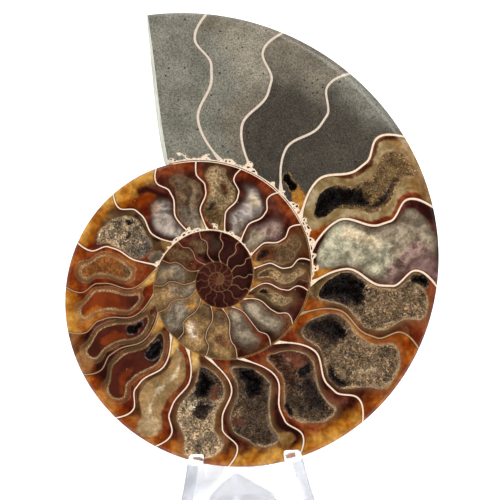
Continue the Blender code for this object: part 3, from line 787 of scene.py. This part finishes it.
        # Painted shade: the hole of lobes is coloured pitch dark inside
        ground = blend(ground, palette["pitch"], ease(self.lobes / 0.3 + 0.5))
        self.young = ease((PROTOCONCH - self.radius / MM) / 0.6 + 0.5)
        self.ground = blend(ground, palette["ember"], self.young)
        self.filling = blend(filling, palette["ember"], self.young)
        self.lay_walls(palette, number, part, height)

    def lay_walls(self, palette, number, part, height):
        """Colour and width of the walls between chambers and between whorls."""
        nearest = number + (part > 0.5)
        thin = np.isin(nearest, THIN_SEPTA)
        fan = np.clip(1.0 - height / 0.10, 0.0, 1.0)
        width = np.interp(nearest, WIDTH_AT, SEPTUM_WIDTHS)
        self.septum = np.where(thin, 0.7, 1.0) * width * (1.0 + 2.0 * fan)
        self.septum = np.where(nearest == 0, -2.0, self.septum)
        self.lace = np.isin(number, LACE_CHAMBERS) * np.where(number < FIRST_LOW_LACE, 1.0, LOW_LACE)
        self.mud = np.isin(number, MUD_CHAMBERS) * 1.0
        lone = np.ones(self.angle.shape)
        wall = palette["cream"] * lone[..., None]
        wall = blend(wall, palette["tan"], thin * 0.8)
        wall = blend(wall, palette["blush"], (nearest < 4) * lone)
        wall = blend(wall, palette["tan"], ease((nearest - 23.0) / 8.0) * 0.75)
        self.wall = blend(wall, palette["brown"], ease((nearest - 35.0) / 7.0) * 0.9)
        self.whorl_wall = np.interp(number, WIDTH_AT, WHORL_WIDTHS) - 2.0 * self.young
        self.septum = self.septum - 2.0 * self.young

    def rim_drop(self, height):
        """Millimetres by which the polished face rounds off at the outer edge."""
        away = np.clip(np.abs(self.angle - WIDE_BEVEL_AT) / WIDE_BEVEL_REACH, 0.0, 1.0)
        bevel = RIM_BEVEL + (WIDE_BEVEL - RIM_BEVEL) * ease(1.0 - away)
        deep = NARROW_RIM_DROP + (RIM_DROP - NARROW_RIM_DROP) * ease(1.0 - away)
        share = np.clip(1.0 - self.to_outer * MM / bevel, 0.0, 1.0)
        drop = deep / MM * share ** 1.7
        return np.where(self.covered, 0.0, drop)


def new_object(name, bm, materials):
    """Turn a bmesh into a named object with its materials."""
    mesh = bpy.data.meshes.new(name)
    bm.to_mesh(mesh)
    bm.free()
    for material in materials:
        mesh.materials.append(material)
    obj = bpy.data.objects.new(name, mesh)
    bpy.context.scene.collection.objects.link(obj)
    return obj


def place_grid(bm, places, layers, values):
    """Grid of the mesh laid on places[column, row], with each layer's values."""
    columns, rows = places.shape[:2]
    made = bmesh.ops.create_grid(bm, x_segments=columns - 1, y_segments=rows - 1, size=0.5)
    lines = {}
    for vert in made["verts"]:
        column = round((vert.co.x + 0.5) * (columns - 1))
        row = round((vert.co.y + 0.5) * (rows - 1))
        lines[(column, row)] = vert
        vert.co = places[column, row]
        for name, given in values.items():
            vert[layers[name]] = given[column, row]
    return lines


def zip_chains(bm, one, other, kind):
    """Join two rows of (place along, vertex) whose steps differ with a strip of triangles."""
    i = j = 0
    while i < len(one) - 1 or j < len(other) - 1:
        if j == len(other) - 1 or (i < len(one) - 1 and one[i + 1][0] <= other[j + 1][0]):
            corners = (one[i][1], one[i + 1][1], other[j][1])
            i += 1
        else:
            corners = (one[i][1], other[j + 1][1], other[j][1])
            j += 1
        if len(set(corners)) == 3:
            bm.faces.new(corners).material_index = kind


# What each vertex of the face knows besides its seam, side walls, softness and chamber
FACE_VALUES = ("edge", "outline", "septum", "whorl_wall", "lace", "mud", "haze", "grit", "pit",
               "grow")
FACE_COLOURS = ("ground", "filling", "wall")


def build_shell(palette):
    """Closed mesh of the fossil half: face, hollows, back and sawn end."""
    face = Face(palette)
    one = np.ones(face.angle.shape)
    number = face.numbers[:, None] * one
    values = {
        "seam": np.minimum(face.to_high, face.to_low),
        "inner_wall": face.to_inner,
        "outer_wall": np.where(face.covered, face.to_outer, NO_WALL),
        "soft": ease((number - 16.0) / 12.0),
        "chamber": number,
    }
    values.update({name: getattr(face, name) * one for name in FACE_VALUES})
    bm = bmesh.new()
    layers = {name: bm.verts.layers.float.new(name) for name in values}
    for name in FACE_COLOURS:
        layers[name] = bm.verts.layers.float_color.new(name)
        values[name] = np.concatenate((getattr(face, name), one[..., None]), axis=-1)
    front = place_grid(bm, face.place, layers, values)
    back, lines = back_grid(bm, layers)
    join_shell(bm, face, front, back, lines)
    return bm


def line_angles():
    """Growth angles of the back's lines, with one more past the sawn end on each turn."""
    count = round((END_ANGLE - INNER_ANGLE) / LINE_STEP)
    angles = [END_ANGLE - LINE_STEP * step for step in range(count + 1)]
    extra = END_ANGLE + AFTER_END - FULL_TURN
    while extra > INNER_ANGLE:
        angles.append(extra)
        extra -= FULL_TURN
    return np.array(sorted(angles))


def back_grid(bm, layers):
    """The domed back with its ribs and umbilicus."""
    lines = line_angles()
    line = lines[:, None]
    share = np.linspace(0.0, 1.0, BACK_COLUMNS + 1)[None, :] ** BACK_CROWDING
    radius = whorl_radius(line, 1.0 - share)
    angle = line + end_shift(line, radius)
    radius = whorl_radius(angle, 1.0 - share)
    places = on_face(angle, radius, -back_depth(angle, radius, line))
    height = (1.0 - share) * np.ones(radius.shape)
    values = {
        "seam": chambers_passed(angle, height),
        "chamber": np.full(angle.shape, -1.0),
        "inner_wall": (radius - venter_radius(angle - FULL_TURN)) / MM,
    }
    return place_grid(bm, places, layers, values), lines


def chambers_passed(angle, height):
    """Chambers between the first septum and a point of the back, with the part of the last."""
    numbers = np.arange(1, len(SEPTUM_ROWS))
    lines = septum_angle(numbers, height[..., None])
    passed = (lines > angle[..., None]).sum(axis=-1)
    before = np.clip(passed - 1, 0, len(numbers) - 2)[..., None]
    high = np.take_along_axis(lines, before, -1)
    low = np.take_along_axis(lines, before + 1, -1)
    return (before + (high - angle[..., None]) / (high - low))[..., 0]


FACE_KIND, BACK_KIND, SAWN_KIND = range(3)

# Finish of the gaps that are filled last, from the smallest: the strip of shell wall under the
# sawn end, then the middles of the face and of the back
GAP_KINDS = (FACE_KIND, FACE_KIND, BACK_KIND)


def join_shell(bm, face, front, back, lines):
    """Close the seams between whorls, the rim, the sawn end and both middles."""
    bmesh.ops.recalc_face_normals(bm, faces=bm.faces)
    for vert in set(back.values()):
        for polygon in vert.link_faces:
            polygon.material_index = BACK_KIND
    columns = len(face.numbers)
    last_row = len(face.heights) - 1
    inner = [(-face.angle[column, 0], front[(column, 0)]) for column in range(columns)]
    rim = [(-face.angle[column, last_row], front[(column, last_row)])
           for column in range(columns)]
    start = -inner[0][0] - FULL_TURN
    split = next(index for index, (place, _) in enumerate(rim) if -place <= start)
    whorl_below = [(place - FULL_TURN, vert) for place, vert in rim[split:]]
    zip_chains(bm, inner, whorl_below, FACE_KIND)

    last_line = len(lines) - 1
    past_end = int(np.argmin(np.abs(lines - (END_ANGLE + AFTER_END - FULL_TURN))))
    back_rim = []
    for index in range(last_line, past_end - 1, -1):
        radius = whorl_radius(lines[index], 1.0)
        angle = lines[index] + float(end_shift(lines[index], radius))
        back_rim.append((-angle, back[(index, 0)]))
    zip_chains(bm, rim[:split + 1], back_rim, BACK_KIND)
    saw = [(1.0 - face.heights[row], front[(0, row)]) for row in range(last_row, -1, -1)]
    flank = [((column / BACK_COLUMNS) ** BACK_CROWDING, back[(last_line, column)])
             for column in range(BACK_COLUMNS + 1)]
    zip_chains(bm, saw, flank, SAWN_KIND)
    bmesh.ops.remove_doubles(bm, verts=list(dict.fromkeys(back.values())), dist=MERGE)
    open_edges = [edge for edge in bm.edges if edge.is_boundary]
    gaps = bmesh.ops.holes_fill(bm, edges=open_edges, sides=0)["faces"]
    gaps.sort(key=lambda gap: len(gap.verts))
    for gap, kind in zip(gaps, GAP_KINDS, strict=True):
        gap.material_index = kind
    bmesh.ops.recalc_face_normals(bm, faces=bm.faces)
    if bm.calc_volume(signed=True) < 0.0:
        bmesh.ops.reverse_faces(bm, faces=bm.faces)
    for polygon in bm.faces:
        polygon.smooth = True


class Nodes:
    """A tree whose nodes are added one after another."""

    def __init__(self, tree):
        self.tree = tree

    def add(self, kind, **settings):
        node = self.tree.nodes.new(kind)
        for key, value in settings.items():
            setattr(node, key, value)
        return node

    def feed(self, socket, value):
        """Give a socket a link or a value; colours are opaque."""
        if isinstance(value, bpy.types.NodeSocket):
            self.tree.links.new(value, socket)
        elif socket.type == "RGBA":
            socket.default_value = (*value[:3], 1.0)
        else:
            socket.default_value = value

    def feed_all(self, node, **sockets):
        """Feed a node's sockets by their names, with _ for a space."""
        for name, value in sockets.items():
            self.feed(node.inputs[name.replace("_", " ")], value)

    def place(self, kind="Object"):
        return self.add("ShaderNodeTexCoord").outputs[kind]

    def math(self, operation, *inputs, clamp=False):
        node = self.add("ShaderNodeMath", operation=operation, use_clamp=clamp)
        for socket, value in zip(node.inputs, inputs):
            self.feed(socket, value)
        return node.outputs[0]

    def times(self, one, other, clamp=False):
        return self.math("MULTIPLY", one, other, clamp=clamp)

    def span(self, value, low, high, to_low=0.0, to_high=1.0, kind="SMOOTHSTEP"):
        node = self.add("ShaderNodeMapRange", interpolation_type=kind)
        self.feed_all(node, Value=value, From_Min=low, From_Max=high, To_Min=to_low,
                      To_Max=to_high)
        return node.outputs["Result"]

    def below(self, value, low, high, most=1.0):
        """Most under the low end and nothing over the high one."""
        return self.span(value, low, high, most, 0.0)

    def vary(self, grain, least, most):
        """Values from a least to a most one, over nearly all of a noise."""
        return self.span(grain, *NOISE_RANGE, least, most)


class Shader(Nodes):
    """A material with its Principled surface."""

    def __init__(self, name):
        self.material = bpy.data.materials.new(name)
        self.material.use_nodes = True
        super().__init__(self.material.node_tree)
        self.surface = self.tree.nodes["Principled BSDF"]

    def value(self, name):
        return self.add("ShaderNodeAttribute", attribute_name=name).outputs["Fac"]

    def colour(self, name):
        return self.add("ShaderNodeAttribute", attribute_name=name).outputs["Color"]

    def mix(self, share, one, other):
        node = self.add("ShaderNodeMix", data_type="RGBA")
        for index, value in ((0, share), (6, one), (7, other)):
            self.feed(node.inputs[index], value)
        return node.outputs[2]

    def scaled(self, colour, factor):
        """Colour made lighter or darker by a factor."""
        node = self.add("ShaderNodeVectorMath", operation="SCALE")
        self.feed(node.inputs[0], colour)
        self.feed_all(node, Scale=factor)
        return node.outputs[0]

    def deepened(self, colour, gamma):
        """Colour made darker and richer, as thicker clear mineral is."""
        node = self.add("ShaderNodeGamma")
        self.feed_all(node, Color=colour, Gamma=gamma)
        return node.outputs[0]

    def noise(self, name):
        """Noise from 0 to 1, by the name of its grain."""
        waves, detail, distortion, offset = GRAINS[name]
        shift = self.add("ShaderNodeMapping")
        self.feed_all(shift, Vector=self.place(), Location=(offset, offset, offset))
        node = self.add("ShaderNodeTexNoise")
        self.feed_all(node, Vector=shift.outputs[0], Scale=waves, Detail=detail,
                      Distortion=distortion)
        return node.outputs["Fac"]

    def ragged(self, distance, grain, amount):
        """Distance to an edge, made uneven by a noise."""
        return self.math("MULTIPLY_ADD", grain, amount, self.math("ADD", distance, -amount / 2.0))

    def cells(self, waves, feature="F1"):
        node = self.add("ShaderNodeTexVoronoi", feature=feature)
        self.feed_all(node, Vector=self.place(), Scale=waves)
        return node.outputs["Distance"]

    def bump(self, height, strength, distance):
        node = self.add("ShaderNodeBump")
        self.feed_all(node, Height=height, Strength=strength, Distance=distance)
        self.feed_all(self.surface, Normal=node.outputs[0])

    def finish(self, colour, roughness, **sockets):
        self.feed_all(self.surface, Base_Color=colour, Roughness=roughness, **sockets)
        return self.material


def face_material(palette, sizes):
    """Polished face: calcite, shell walls, hollows with painted shade, and mudstone."""
    shader = Shader("polished_face")
    coarse = shader.noise("coarse")
    cloud = shader.noise("cloud")
    grain = shader.noise("grain")
    pit = shader.value("pit")
    mud = shader.value("mud")
    colour = calcite(shader, palette, coarse, cloud, grain)
    colour = shader.mix(mud, colour, mudstone(shader, palette, coarse, grain))
    # Painted shade: the colour darkens to half in the deepest hollows
    colour = shader.scaled(colour, shader.span(pit, 0.3, 5.0, 1.0, 0.5, kind="LINEAR"))
    colour = septum_lines(shader, palette, sizes, colour, mud, grain)
    colour = whorl_walls(shader, palette, sizes, colour, coarse, grain)
    rough = shader.math("MAXIMUM", shader.span(pit, 0.2, 1.0, sizes.polish, 0.50),
                        shader.times(mud, 0.30))
    gritty = shader.math("MAXIMUM", shader.span(pit, 0.2, 1.2, 0.02, 0.9),
                         shader.times(mud, 0.25))
    shader.bump(grain, gritty, FACE_BUMP)
    return shader.finish(colour, rough, Specular_IOR_Level=0.3, Coat_Weight=0.2,
                         Coat_Roughness=0.06)


def septum_lines(shader, palette, sizes, colour, mud, grain):
    """Pale walls between the chambers, with a red-brown shade beside them in the calcite."""
    half = shader.times(shader.value("septum"), sizes.septum / MM / 2.0)
    beside = shader.math("SUBTRACT", shader.ragged(shader.value("seam"), grain, 0.14), half)
    shade = shader.times(shader.below(beside, 0.0, 0.6, 0.70), shader.math("SUBTRACT", 1.0, mud))
    colour = shader.mix(shade, colour, palette["maroon"])
    tone = shader.scaled(shader.colour("wall"), shader.vary(grain, 0.82, 1.10))
    return shader.mix(shader.below(beside, -0.06, 0.06), colour, tone)


def calcite(shader, palette, coarse, cloud, grain):
    """Clear and clouded calcite of the chambers, with the rings around each filling."""
    fleck = shader.noise("fleck")
    ground = shader.deepened(shader.colour("ground"), shader.span(coarse, 0.32, 0.68, 1.50, 0.80))
    ground = shader.scaled(ground, shader.vary(fleck, 0.74, 1.24))
    edge = shader.value("edge")
    outline = shader.value("outline")
    halo = shader.times(shader.span(edge, -2.4, 0.0, 0.0, 0.30), outline, clamp=True)
    ground = shader.mix(halo, ground, palette["tan"])
    ragged = shader.ragged(edge, cloud, 1.2)
    blur = shader.math("MULTIPLY_ADD", shader.value("soft"), 0.9, 0.15)
    blur = shader.math("MULTIPLY_ADD", shader.value("haze"), 0.9, blur)
    inside = shader.span(ragged, shader.times(blur, -1.0), blur)
    colour = shader.mix(inside, ground, filling(shader, palette, cloud, fleck))
    ring = shader.times(rings(shader, ragged, outline),
                        shader.span(coarse, 0.36, 0.54, 0.25, 0.85))
    tan = shader.scaled(palette["beige"], shader.span(grain, 0.35, 0.65, 0.45, 1.9))
    colour = shader.mix(ring, colour, tan)
    # Pale specks: painted glints on the polish, standing in for small highlights, with some dust
    dust_and_glint = shader.below(shader.cells(DUST_AND_GLINT_CELLS), 0.035, 0.055, 0.6)
    return shader.mix(dust_and_glint, colour, palette["pale"])


def rings(shader, ragged, outline):
    """Pale ring around a filling, and a fainter one outside the plainest rings."""
    across = shader.math("DIVIDE", ragged, shader.math("MAXIMUM", outline, 1.0))
    first = shader.times(shader.span(across, -0.50, -0.10), shader.below(across, 0.0, 0.36))
    second = shader.times(shader.span(ragged, -1.60, -1.40),
                          shader.below(ragged, -1.35, -1.15, 0.4))
    second = shader.times(second, shader.span(outline, 0.93, 0.99))
    return shader.times(shader.math("MAXIMUM", first, second), outline, clamp=True)


def filling(shader, palette, cloud, fleck):
    """Filling of a chamber: soft glowing haze with white wisps, or gritty druse."""
    haze = shader.value("haze")
    speck = shader.noise("speck")
    fill = shader.scaled(shader.colour("filling"), shader.span(cloud, 0.34, 0.66, 0.72, 1.25))
    rough = shader.scaled(fill, shader.times(shader.span(speck, 0.36, 0.64, 0.45, 1.50),
                                             shader.span(fleck, 0.34, 0.66, 0.55, 1.35)))
    fill = shader.mix(shader.value("grit"), fill, rough)
    within = shader.span(shader.value("edge"), -0.4, 2.8)
    lit = shader.times(within, shader.span(cloud, 0.36, 0.60, 0.30, 1.0))
    dim = shader.times(haze, shader.math("SUBTRACT", 1.0, lit))
    fill = shader.mix(dim, fill, palette["dusk"])
    thread = shader.math("ABSOLUTE", shader.math("SUBTRACT", shader.noise("thread"), 0.5))
    wisp = shader.times(shader.below(thread, 0.0, 0.10, 0.42), shader.times(haze, lit))
    return shader.mix(wisp, fill, palette["cream"])


def mudstone(shader, palette, coarse, grain):
    """Fine sandy mudstone with dark and light specks."""
    tone = shader.times(shader.span(shader.noise("sand"), 0.34, 0.66, 0.62, 1.38),
                        shader.vary(coarse, 0.84, 1.16))
    tone = shader.times(tone, shader.span(shader.noise("drift"), 0.36, 0.64, 0.88, 1.06))
    colour = shader.scaled(shader.colour("ground"), tone)
    colour = shader.mix(shader.span(grain, 0.64, 0.70, 0.0, 0.65), colour, palette["tan"])
    speck = shader.math("MULTIPLY_ADD", grain, 0.22, shader.cells(SPECK_CELLS))
    patchy = shader.times(shader.below(speck, 0.20, 0.27, 0.9), shader.span(coarse, 0.42, 0.52))
    return shader.mix(patchy, colour, palette["pitch"])


def whorl_walls(shader, palette, sizes, colour, coarse, grain):
    """Walls between whorls: lace of little cells in some places, a thin line in others."""
    lace = shader.value("lace")
    laced = shader.span(lace, 0.0, 0.5)
    cream = shader.scaled(palette["cream"], shader.vary(grain, 0.78, 1.08))
    domes = shader.math("MULTIPLY_ADD", shader.cells(DOME_CELLS), 2.6, shader.value("inner_wall"))
    reach = shader.times(shader.span(coarse, 0.38, 0.60, 2.0, 4.0), lace)
    beside = shader.math("SUBTRACT", domes, reach)
    net = shader.cells(LACE_CELLS, feature="DISTANCE_TO_EDGE")
    frets = shader.mix(shader.span(net, 0.15, 0.22), cream, palette["pitch"])
    rind = shader.times(shader.span(beside, -0.35, -0.2), 0.9)
    frets = shader.mix(rind, frets, cream)
    fringe = shader.times(shader.below(beside, -0.15, 0.15), laced)
    colour = shader.mix(fringe, colour, frets)
    thickness = shader.value("whorl_wall")
    width = shader.times(thickness, sizes.wall / MM)
    dull = shader.scaled(palette["tan"], shader.times(shader.vary(grain, 0.5, 1.2), shader.span(
        thickness, 0.30, 0.45, 0.45, 1.0)))
    dull = shader.mix(laced, dull, cream)
    for side, share in (("inner_wall", 0.6), ("outer_wall", 0.3)):
        beside = shader.math("SUBTRACT", shader.value(side), shader.times(width, share))
        colour = shader.mix(shader.below(beside, -0.06, 0.08), colour, dull)
    return colour


def back_material(palette):
    """Outside of the shell: honey-brown calcite with frilled suture lines."""
    shader = Shader("shell_outside")
    frill = shader.noise("frill")
    colour = shader.mix(shader.span(shader.noise("shell_coarse"), 0.36, 0.64),
                        palette["brown"], palette["tan"])
    colour = shader.mix(shader.span(frill, 0.52, 0.72, 0.0, 0.6), colour, palette["amber"])
    turns = shader.math("MULTIPLY_ADD", frill, 1.3, shader.value("seam"))
    beside = shader.math("PINGPONG", turns, 0.5)
    colour = shader.mix(shader.below(beside, 0.02, 0.16, 0.45), colour, palette["umber"])
    colour = shader.mix(shader.below(beside, 0.022, 0.040, 0.9), colour, palette["wine"])
    colour = shader.scaled(colour, shader.vary(shader.noise("shell_grain"), 0.70, 1.05))
    shader.bump(frill, 0.12, BACK_BUMP)
    return shader.finish(colour, 0.34, Coat_Weight=0.2, Coat_Roughness=0.15)


def sawn_material(palette):
    """Sawn end of the last whorl: fine mudstone, dull and slightly rough."""
    shader = Shader("sawn_end")
    grain = shader.noise("sawn_grain")
    colour = shader.mix(shader.vary(shader.noise("sawn_coarse"), 0.45, 1.0),
                        palette["dust_and_glint"], palette["chalk"])
    colour = shader.scaled(colour, shader.vary(grain, 0.8, 1.15))
    shader.bump(grain, 0.35, SAWN_BUMP)
    return shader.finish(colour, 0.7)


def crystal_material():
    """Calcite crystals, coloured one by one."""
    shader = Shader("calcite_crystals")
    grain = shader.noise("crystal_grain")
    colour = shader.scaled(shader.colour("tone"), shader.vary(grain, 0.75, 1.25))
    return shader.finish(colour, shader.vary(grain, 0.30, 0.60), Specular_IOR_Level=0.18)


def stand_material(sizes):
    """Clear moulded plastic with a faint cool tint."""
    shader = Shader("clear_plastic")
    shader.bump(shader.noise("ripple"), 0.02, STAND_BUMP)
    shader.finish(WHITE, sizes.polish, Transmission_Weight=1.0, IOR=sizes.ior)
    tint = shader.add("ShaderNodeVolumeAbsorption")
    shader.feed_all(tint, Color=sizes.tint, Density=sizes.density)
    shader.feed_all(shader.tree.nodes["Material Output"], Volume=tint.outputs[0])
    return shader.material


def palette_of(scene):
    """Linear colour of every named finish."""
    colours = scene.fossil_colours
    return {name: linear(getattr(colours, name)) for name in FossilColours.__annotations__}


def tag(obj, slot, *nodes):
    """Tie a piece to the frame: it stands for CAD nodes, which are hidden. The slot is not used."""
    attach(obj, "root")
    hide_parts(*nodes)


class FOSSIL_OT_build_shell(bpy.types.Operator):
    """Build the fossil half with its polished face, hollows, back and sawn end"""

    bl_idname = "fossil.build_shell"
    bl_label = "Ammonite Half"

    def execute(self, context):
        palette = palette_of(context.scene)
        materials = (face_material(palette, context.scene.fossil_sizes),
                     back_material(palette), sawn_material(palette))
        shell = new_object("polished_half", build_shell(palette), materials)
        shell.data.set_sharp_from_angle(angle=math.radians(SHELL_SHARP))
        tag(shell, "fossil", "ammonite_half")
        return {"FINISHED"}


class FOSSIL_OT_build_crystals(bpy.types.Operator):
    """Grow the crystals that line the open chambers"""

    bl_idname = "fossil.build_crystals"
    bl_label = "Crystal Crusts"

    def execute(self, context):
        sizes = context.scene.fossil_sizes
        rng = random.Random(CRYSTAL_SEED)
        material = crystal_material()
        shell = bpy.data.objects["polished_half"].data
        for number, chamber in enumerate(CRUSTED_CHAMBERS, start=1):
            crust = crystal_crust(shell, chamber, sizes, rng)
            obj = new_object(f"crystals_{number}", crust, [material])
            tag(obj, "crystal", f"crystal_crust_{number}")
        return {"FINISHED"}


def crystal_crust(shell, chamber, sizes, rng):
    """Pointed crystals standing on the hollow parts of one chamber."""
    pits = shell.attributes["pit"].data
    chambers = shell.attributes["chamber"].data
    tones = shell.attributes["filling"].data
    grow = shell.attributes["grow"].data
    bm = bmesh.new()
    tone_layer = bm.verts.layers.float_color.new("tone")
    for polygon in shell.polygons:
        corner = polygon.vertices[0]
        pit = pits[corner].value
        if chambers[corner].value != chamber or pit < LEAST_PIT:
            continue
        expected = polygon.area / sizes.spacing ** 2 * grow[corner].value
        while expected > 0.0:
            if rng.random() < expected:
                # Painted shade: crystals deep in a hollow are darker than those in shallow parts
                shallow_light = 1.0 + SHALLOW_PAINTED_LIGHT * max(0.0, 1.0 - pit / SHALLOW)
                spread = SPREAD if pit < VELVET_DEPTH else VELVET_SPREAD
                bright = shallow_light * (1.0 + spread * rng.uniform(-1.0, 1.0))
                bright *= 1.0 + CLUSTER * noise.noise(polygon.center * CLUSTER_WAVES)
                longest = min(sizes.crystal, CRYSTAL_REACH * pit * MM)
                tone = greyed(tones[corner].color, polygon.center)
                grow_crystal(bm, shell, polygon, tone, bright, longest, rng, tone_layer)
            expected -= 1.0
    return bm


def greyed(tone, place):
    """Colour of a crystal, greyer in some places than in others."""
    grey = Vector((sum(tone[:3]) / 3.0,) * 3)
    share = GREY * max(0.0, 0.5 + noise.noise(place * GREY_WAVES))
    return Vector(tone[:3]).lerp(grey, share)


def grow_crystal(bm, shell, polygon, tone, bright, longest, rng, tone_layer):
    """One six-sided crystal with a pointed tip."""
    corners = [shell.vertices[index].co for index in polygon.vertices]
    weights = [rng.random() for _ in corners]
    place = sum((co * weight for co, weight in zip(corners, weights)), Vector()) / sum(weights)
    lean = Vector([rng.gauss(0.0, LEANING) for _ in range(3)])
    axis = (polygon.normal + lean).normalized()
    length = longest * rng.uniform(SHORTEST, 1.0)
    girth = length * rng.uniform(*GIRTHS)
    spin = Matrix.Rotation(rng.uniform(0.0, math.tau), 4, "Z")
    stand = axis.to_track_quat("Z", "Y").to_matrix().to_4x4()
    middle = place + axis * length * RAISED
    made = bmesh.ops.create_cone(bm, cap_ends=True, segments=6, radius1=girth,
                                 radius2=girth * TIP, depth=length,
                                 matrix=Matrix.Translation(middle) @ stand @ spin)
    for vert in made["verts"]:
        high = (vert.co - middle).dot(axis) > 0.0
        # Painted light and shade: each crystal's tip is lighter and its foot darker
        share = bright * (TIP_HIGHLIGHT if high else FOOT_SHADE)
        vert[tone_layer] = (tone[0] * share, tone[1] * share, tone[2] * share, 1.0)


class FOSSIL_OT_build_stand(bpy.types.Operator):
    """Finish the clear stand with rounded edges and see-through plastic"""

    bl_idname = "fossil.build_stand"
    bl_label = "Clear Stand"

    def execute(self, context):
        sizes = context.scene.stand_sizes
        node = frame["nodes"]["display_stand"]
        bm = bmesh.new()
        bm.from_mesh(node.data)
        bmesh.ops.remove_doubles(bm, verts=bm.verts, dist=0.01 * MM)
        bmesh.ops.dissolve_limit(bm, angle_limit=math.radians(STAND_FLAT), verts=bm.verts,
                                 edges=bm.edges)
        sharp = [edge for edge in bm.edges
                 if edge.is_manifold and edge.calc_face_angle() > math.radians(STAND_BEVELLED)]
        bmesh.ops.bevel(bm, geom=sharp, offset=sizes.bevel, offset_type="OFFSET",
                        affect="EDGES", segments=2, profile=0.5, material=-1,
                        clamp_overlap=True)
        for polygon in bm.faces:
            polygon.smooth = True
        stand = new_object("clear_stand", bm, [stand_material(sizes)])
        stand.data.set_sharp_from_angle(angle=math.radians(STAND_SHARP))
        tag(stand, "clear_stand", "display_stand")
        return {"FINISHED"}


class FOSSIL_OT_build_stage(bpy.types.Operator):
    """Lay the pale floor, hang the soft lights and set the camera"""

    bl_idname = "fossil.build_stage"
    bl_label = "Stage"

    def execute(self, context):
        sizes = context.scene.stage_sizes
        pale_floor(sizes)
        right, look, up = sight()
        aim = SPIRAL_CENTRE + right * sizes.aim[0] + up * sizes.aim[1]
        for name, offset, width, setting, share in LIGHTS:
            softbox(name, aim, Vector(offset), width, share * getattr(sizes, setting))
        context.scene.world = room(sizes)
        cycles = context.scene.cycles
        cycles.glossy_bounces = cycles.transmission_bounces = cycles.max_bounces = BOUNCES
        context.scene.view_settings.view_transform = "Standard"
        lens = bpy.data.cameras.new("camera")
        lens.lens = lens.sensor_width * sizes.distance / sizes.frame
        camera = bpy.data.objects.new("camera", lens)
        camera.matrix_world = Matrix.Translation(aim - look * sizes.distance) @ Matrix(
            (right, up, -look)).transposed().to_4x4()
        context.scene.collection.objects.link(camera)
        context.scene.camera = camera
        return {"FINISHED"}


def room(sizes):
    """White room, darker where the polished face would mirror it to the camera."""
    world = bpy.data.worlds.new("room")
    world.use_nodes = True
    nodes = Nodes(world.node_tree)
    look = sight()[1]
    normal = (FACE_FRAME.to_3x3() @ Vector((0.0, 0.0, 1.0))).normalized()
    toward = nodes.add("ShaderNodeVectorMath", operation="DOT_PRODUCT")
    nodes.feed(toward.inputs[0], nodes.place("Generated"))
    nodes.feed(toward.inputs[1], look.reflect(normal).normalized())
    fade = nodes.span(toward.outputs["Value"], *MIRRORED, sizes.sky, sizes.sky * MIRRORED_SKY)
    glow = sideways(nodes, nodes.place("Generated"), ROOM_SIDES, sizes)
    nodes.feed_all(world.node_tree.nodes["Background"], Color=WHITE,
                   Strength=seen_through(nodes, fade, glow))
    return world


def sideways(nodes, place, reach, sizes):
    """Backlight that is weaker away from the middle, from a first to a last distance."""
    across = nodes.add("ShaderNodeSeparateXYZ")
    nodes.feed(across.inputs[0], place)
    away = nodes.math("ABSOLUTE", across.outputs["X"])
    return nodes.span(away, *reach, sizes.through, sizes.aside)


def seen_through(nodes, plain, glow):
    """Plain strength, with the glow instead where it is seen through the clear stand."""
    path = nodes.add("ShaderNodeLightPath")
    passed = nodes.math("MINIMUM", path.outputs["Transmission Depth"], 1.0)
    lit = nodes.add("ShaderNodeMix")
    for index, value in ((0, passed), (2, plain), (3, glow)):
        nodes.feed(lit.inputs[index], value)
    return lit.outputs[0]


def pale_floor(sizes):
    """White floor that reaches past the picture on every side."""
    bm = bmesh.new()
    bmesh.ops.create_grid(bm, x_segments=1, y_segments=1, size=FLOOR_REACH * frame_size())
    shader = Shader("pale_floor")
    glow = sideways(shader, shader.place(), FLOOR_SIDES, sizes)
    white = shader.scaled(WHITE, shader.vary(shader.noise("floor"), 0.90, 0.93))
    material = shader.finish(white, 0.8, Emission_Color=WHITE,
                             Emission_Strength=seen_through(shader, FLOOR_GLOW, glow))
    floor = new_object("pale_floor", bm, [material])


def softbox(name, aim, offset, width, power):
    """Square area light turned towards the fossil."""
    light = bpy.data.lights.new(name, "AREA")
    light.size = width
    light.energy = power
    obj = bpy.data.objects.new(name, light)
    obj.matrix_world = Matrix.Translation(aim + offset) @ (
        offset.to_track_quat("Z", "Y").to_matrix().to_4x4())
    bpy.context.scene.collection.objects.link(obj)


class FOSSIL_PT_panel(bpy.types.Panel):
    """Everything that builds the fossil and its stand"""

    bl_label = "Ammonite Half"
    bl_space_type = "VIEW_3D"
    bl_region_type = "UI"
    bl_category = "Ammonite"

    def draw(self, context):
        layout = self.layout
        for owner in (context.scene.fossil_sizes, context.scene.fossil_colours,
                      context.scene.stand_sizes, context.scene.stage_sizes):
            box = layout.box()
            for name in type(owner).__annotations__:
                box.prop(owner, name)
        for operator in OPERATORS:
            layout.operator(operator.bl_idname)


GROUPS = {
    "fossil_colours": FossilColours,
    "fossil_sizes": FossilSizes,
    "stand_sizes": StandSizes,
    "stage_sizes": StageSizes,
}
OPERATORS = (
    FOSSIL_OT_build_shell,
    FOSSIL_OT_build_crystals,
    FOSSIL_OT_build_stand,
    FOSSIL_OT_build_stage,
)
CLASSES = (*GROUPS.values(), *OPERATORS, FOSSIL_PT_panel)


def register():
    for cls in CLASSES:
        bpy.utils.register_class(cls)
    for name, group in GROUPS.items():
        setattr(bpy.types.Scene, name, bpy.props.PointerProperty(type=group))


def unregister():
    for name in GROUPS:
        delattr(bpy.types.Scene, name)
    for cls in reversed(CLASSES):
        bpy.utils.unregister_class(cls)


def main():
    register()
    bpy.ops.fossil.build_shell()
    bpy.ops.fossil.build_crystals()
    bpy.ops.fossil.build_stand()
    bpy.ops.fossil.build_stage()


if __name__ == "__main__":
    main()
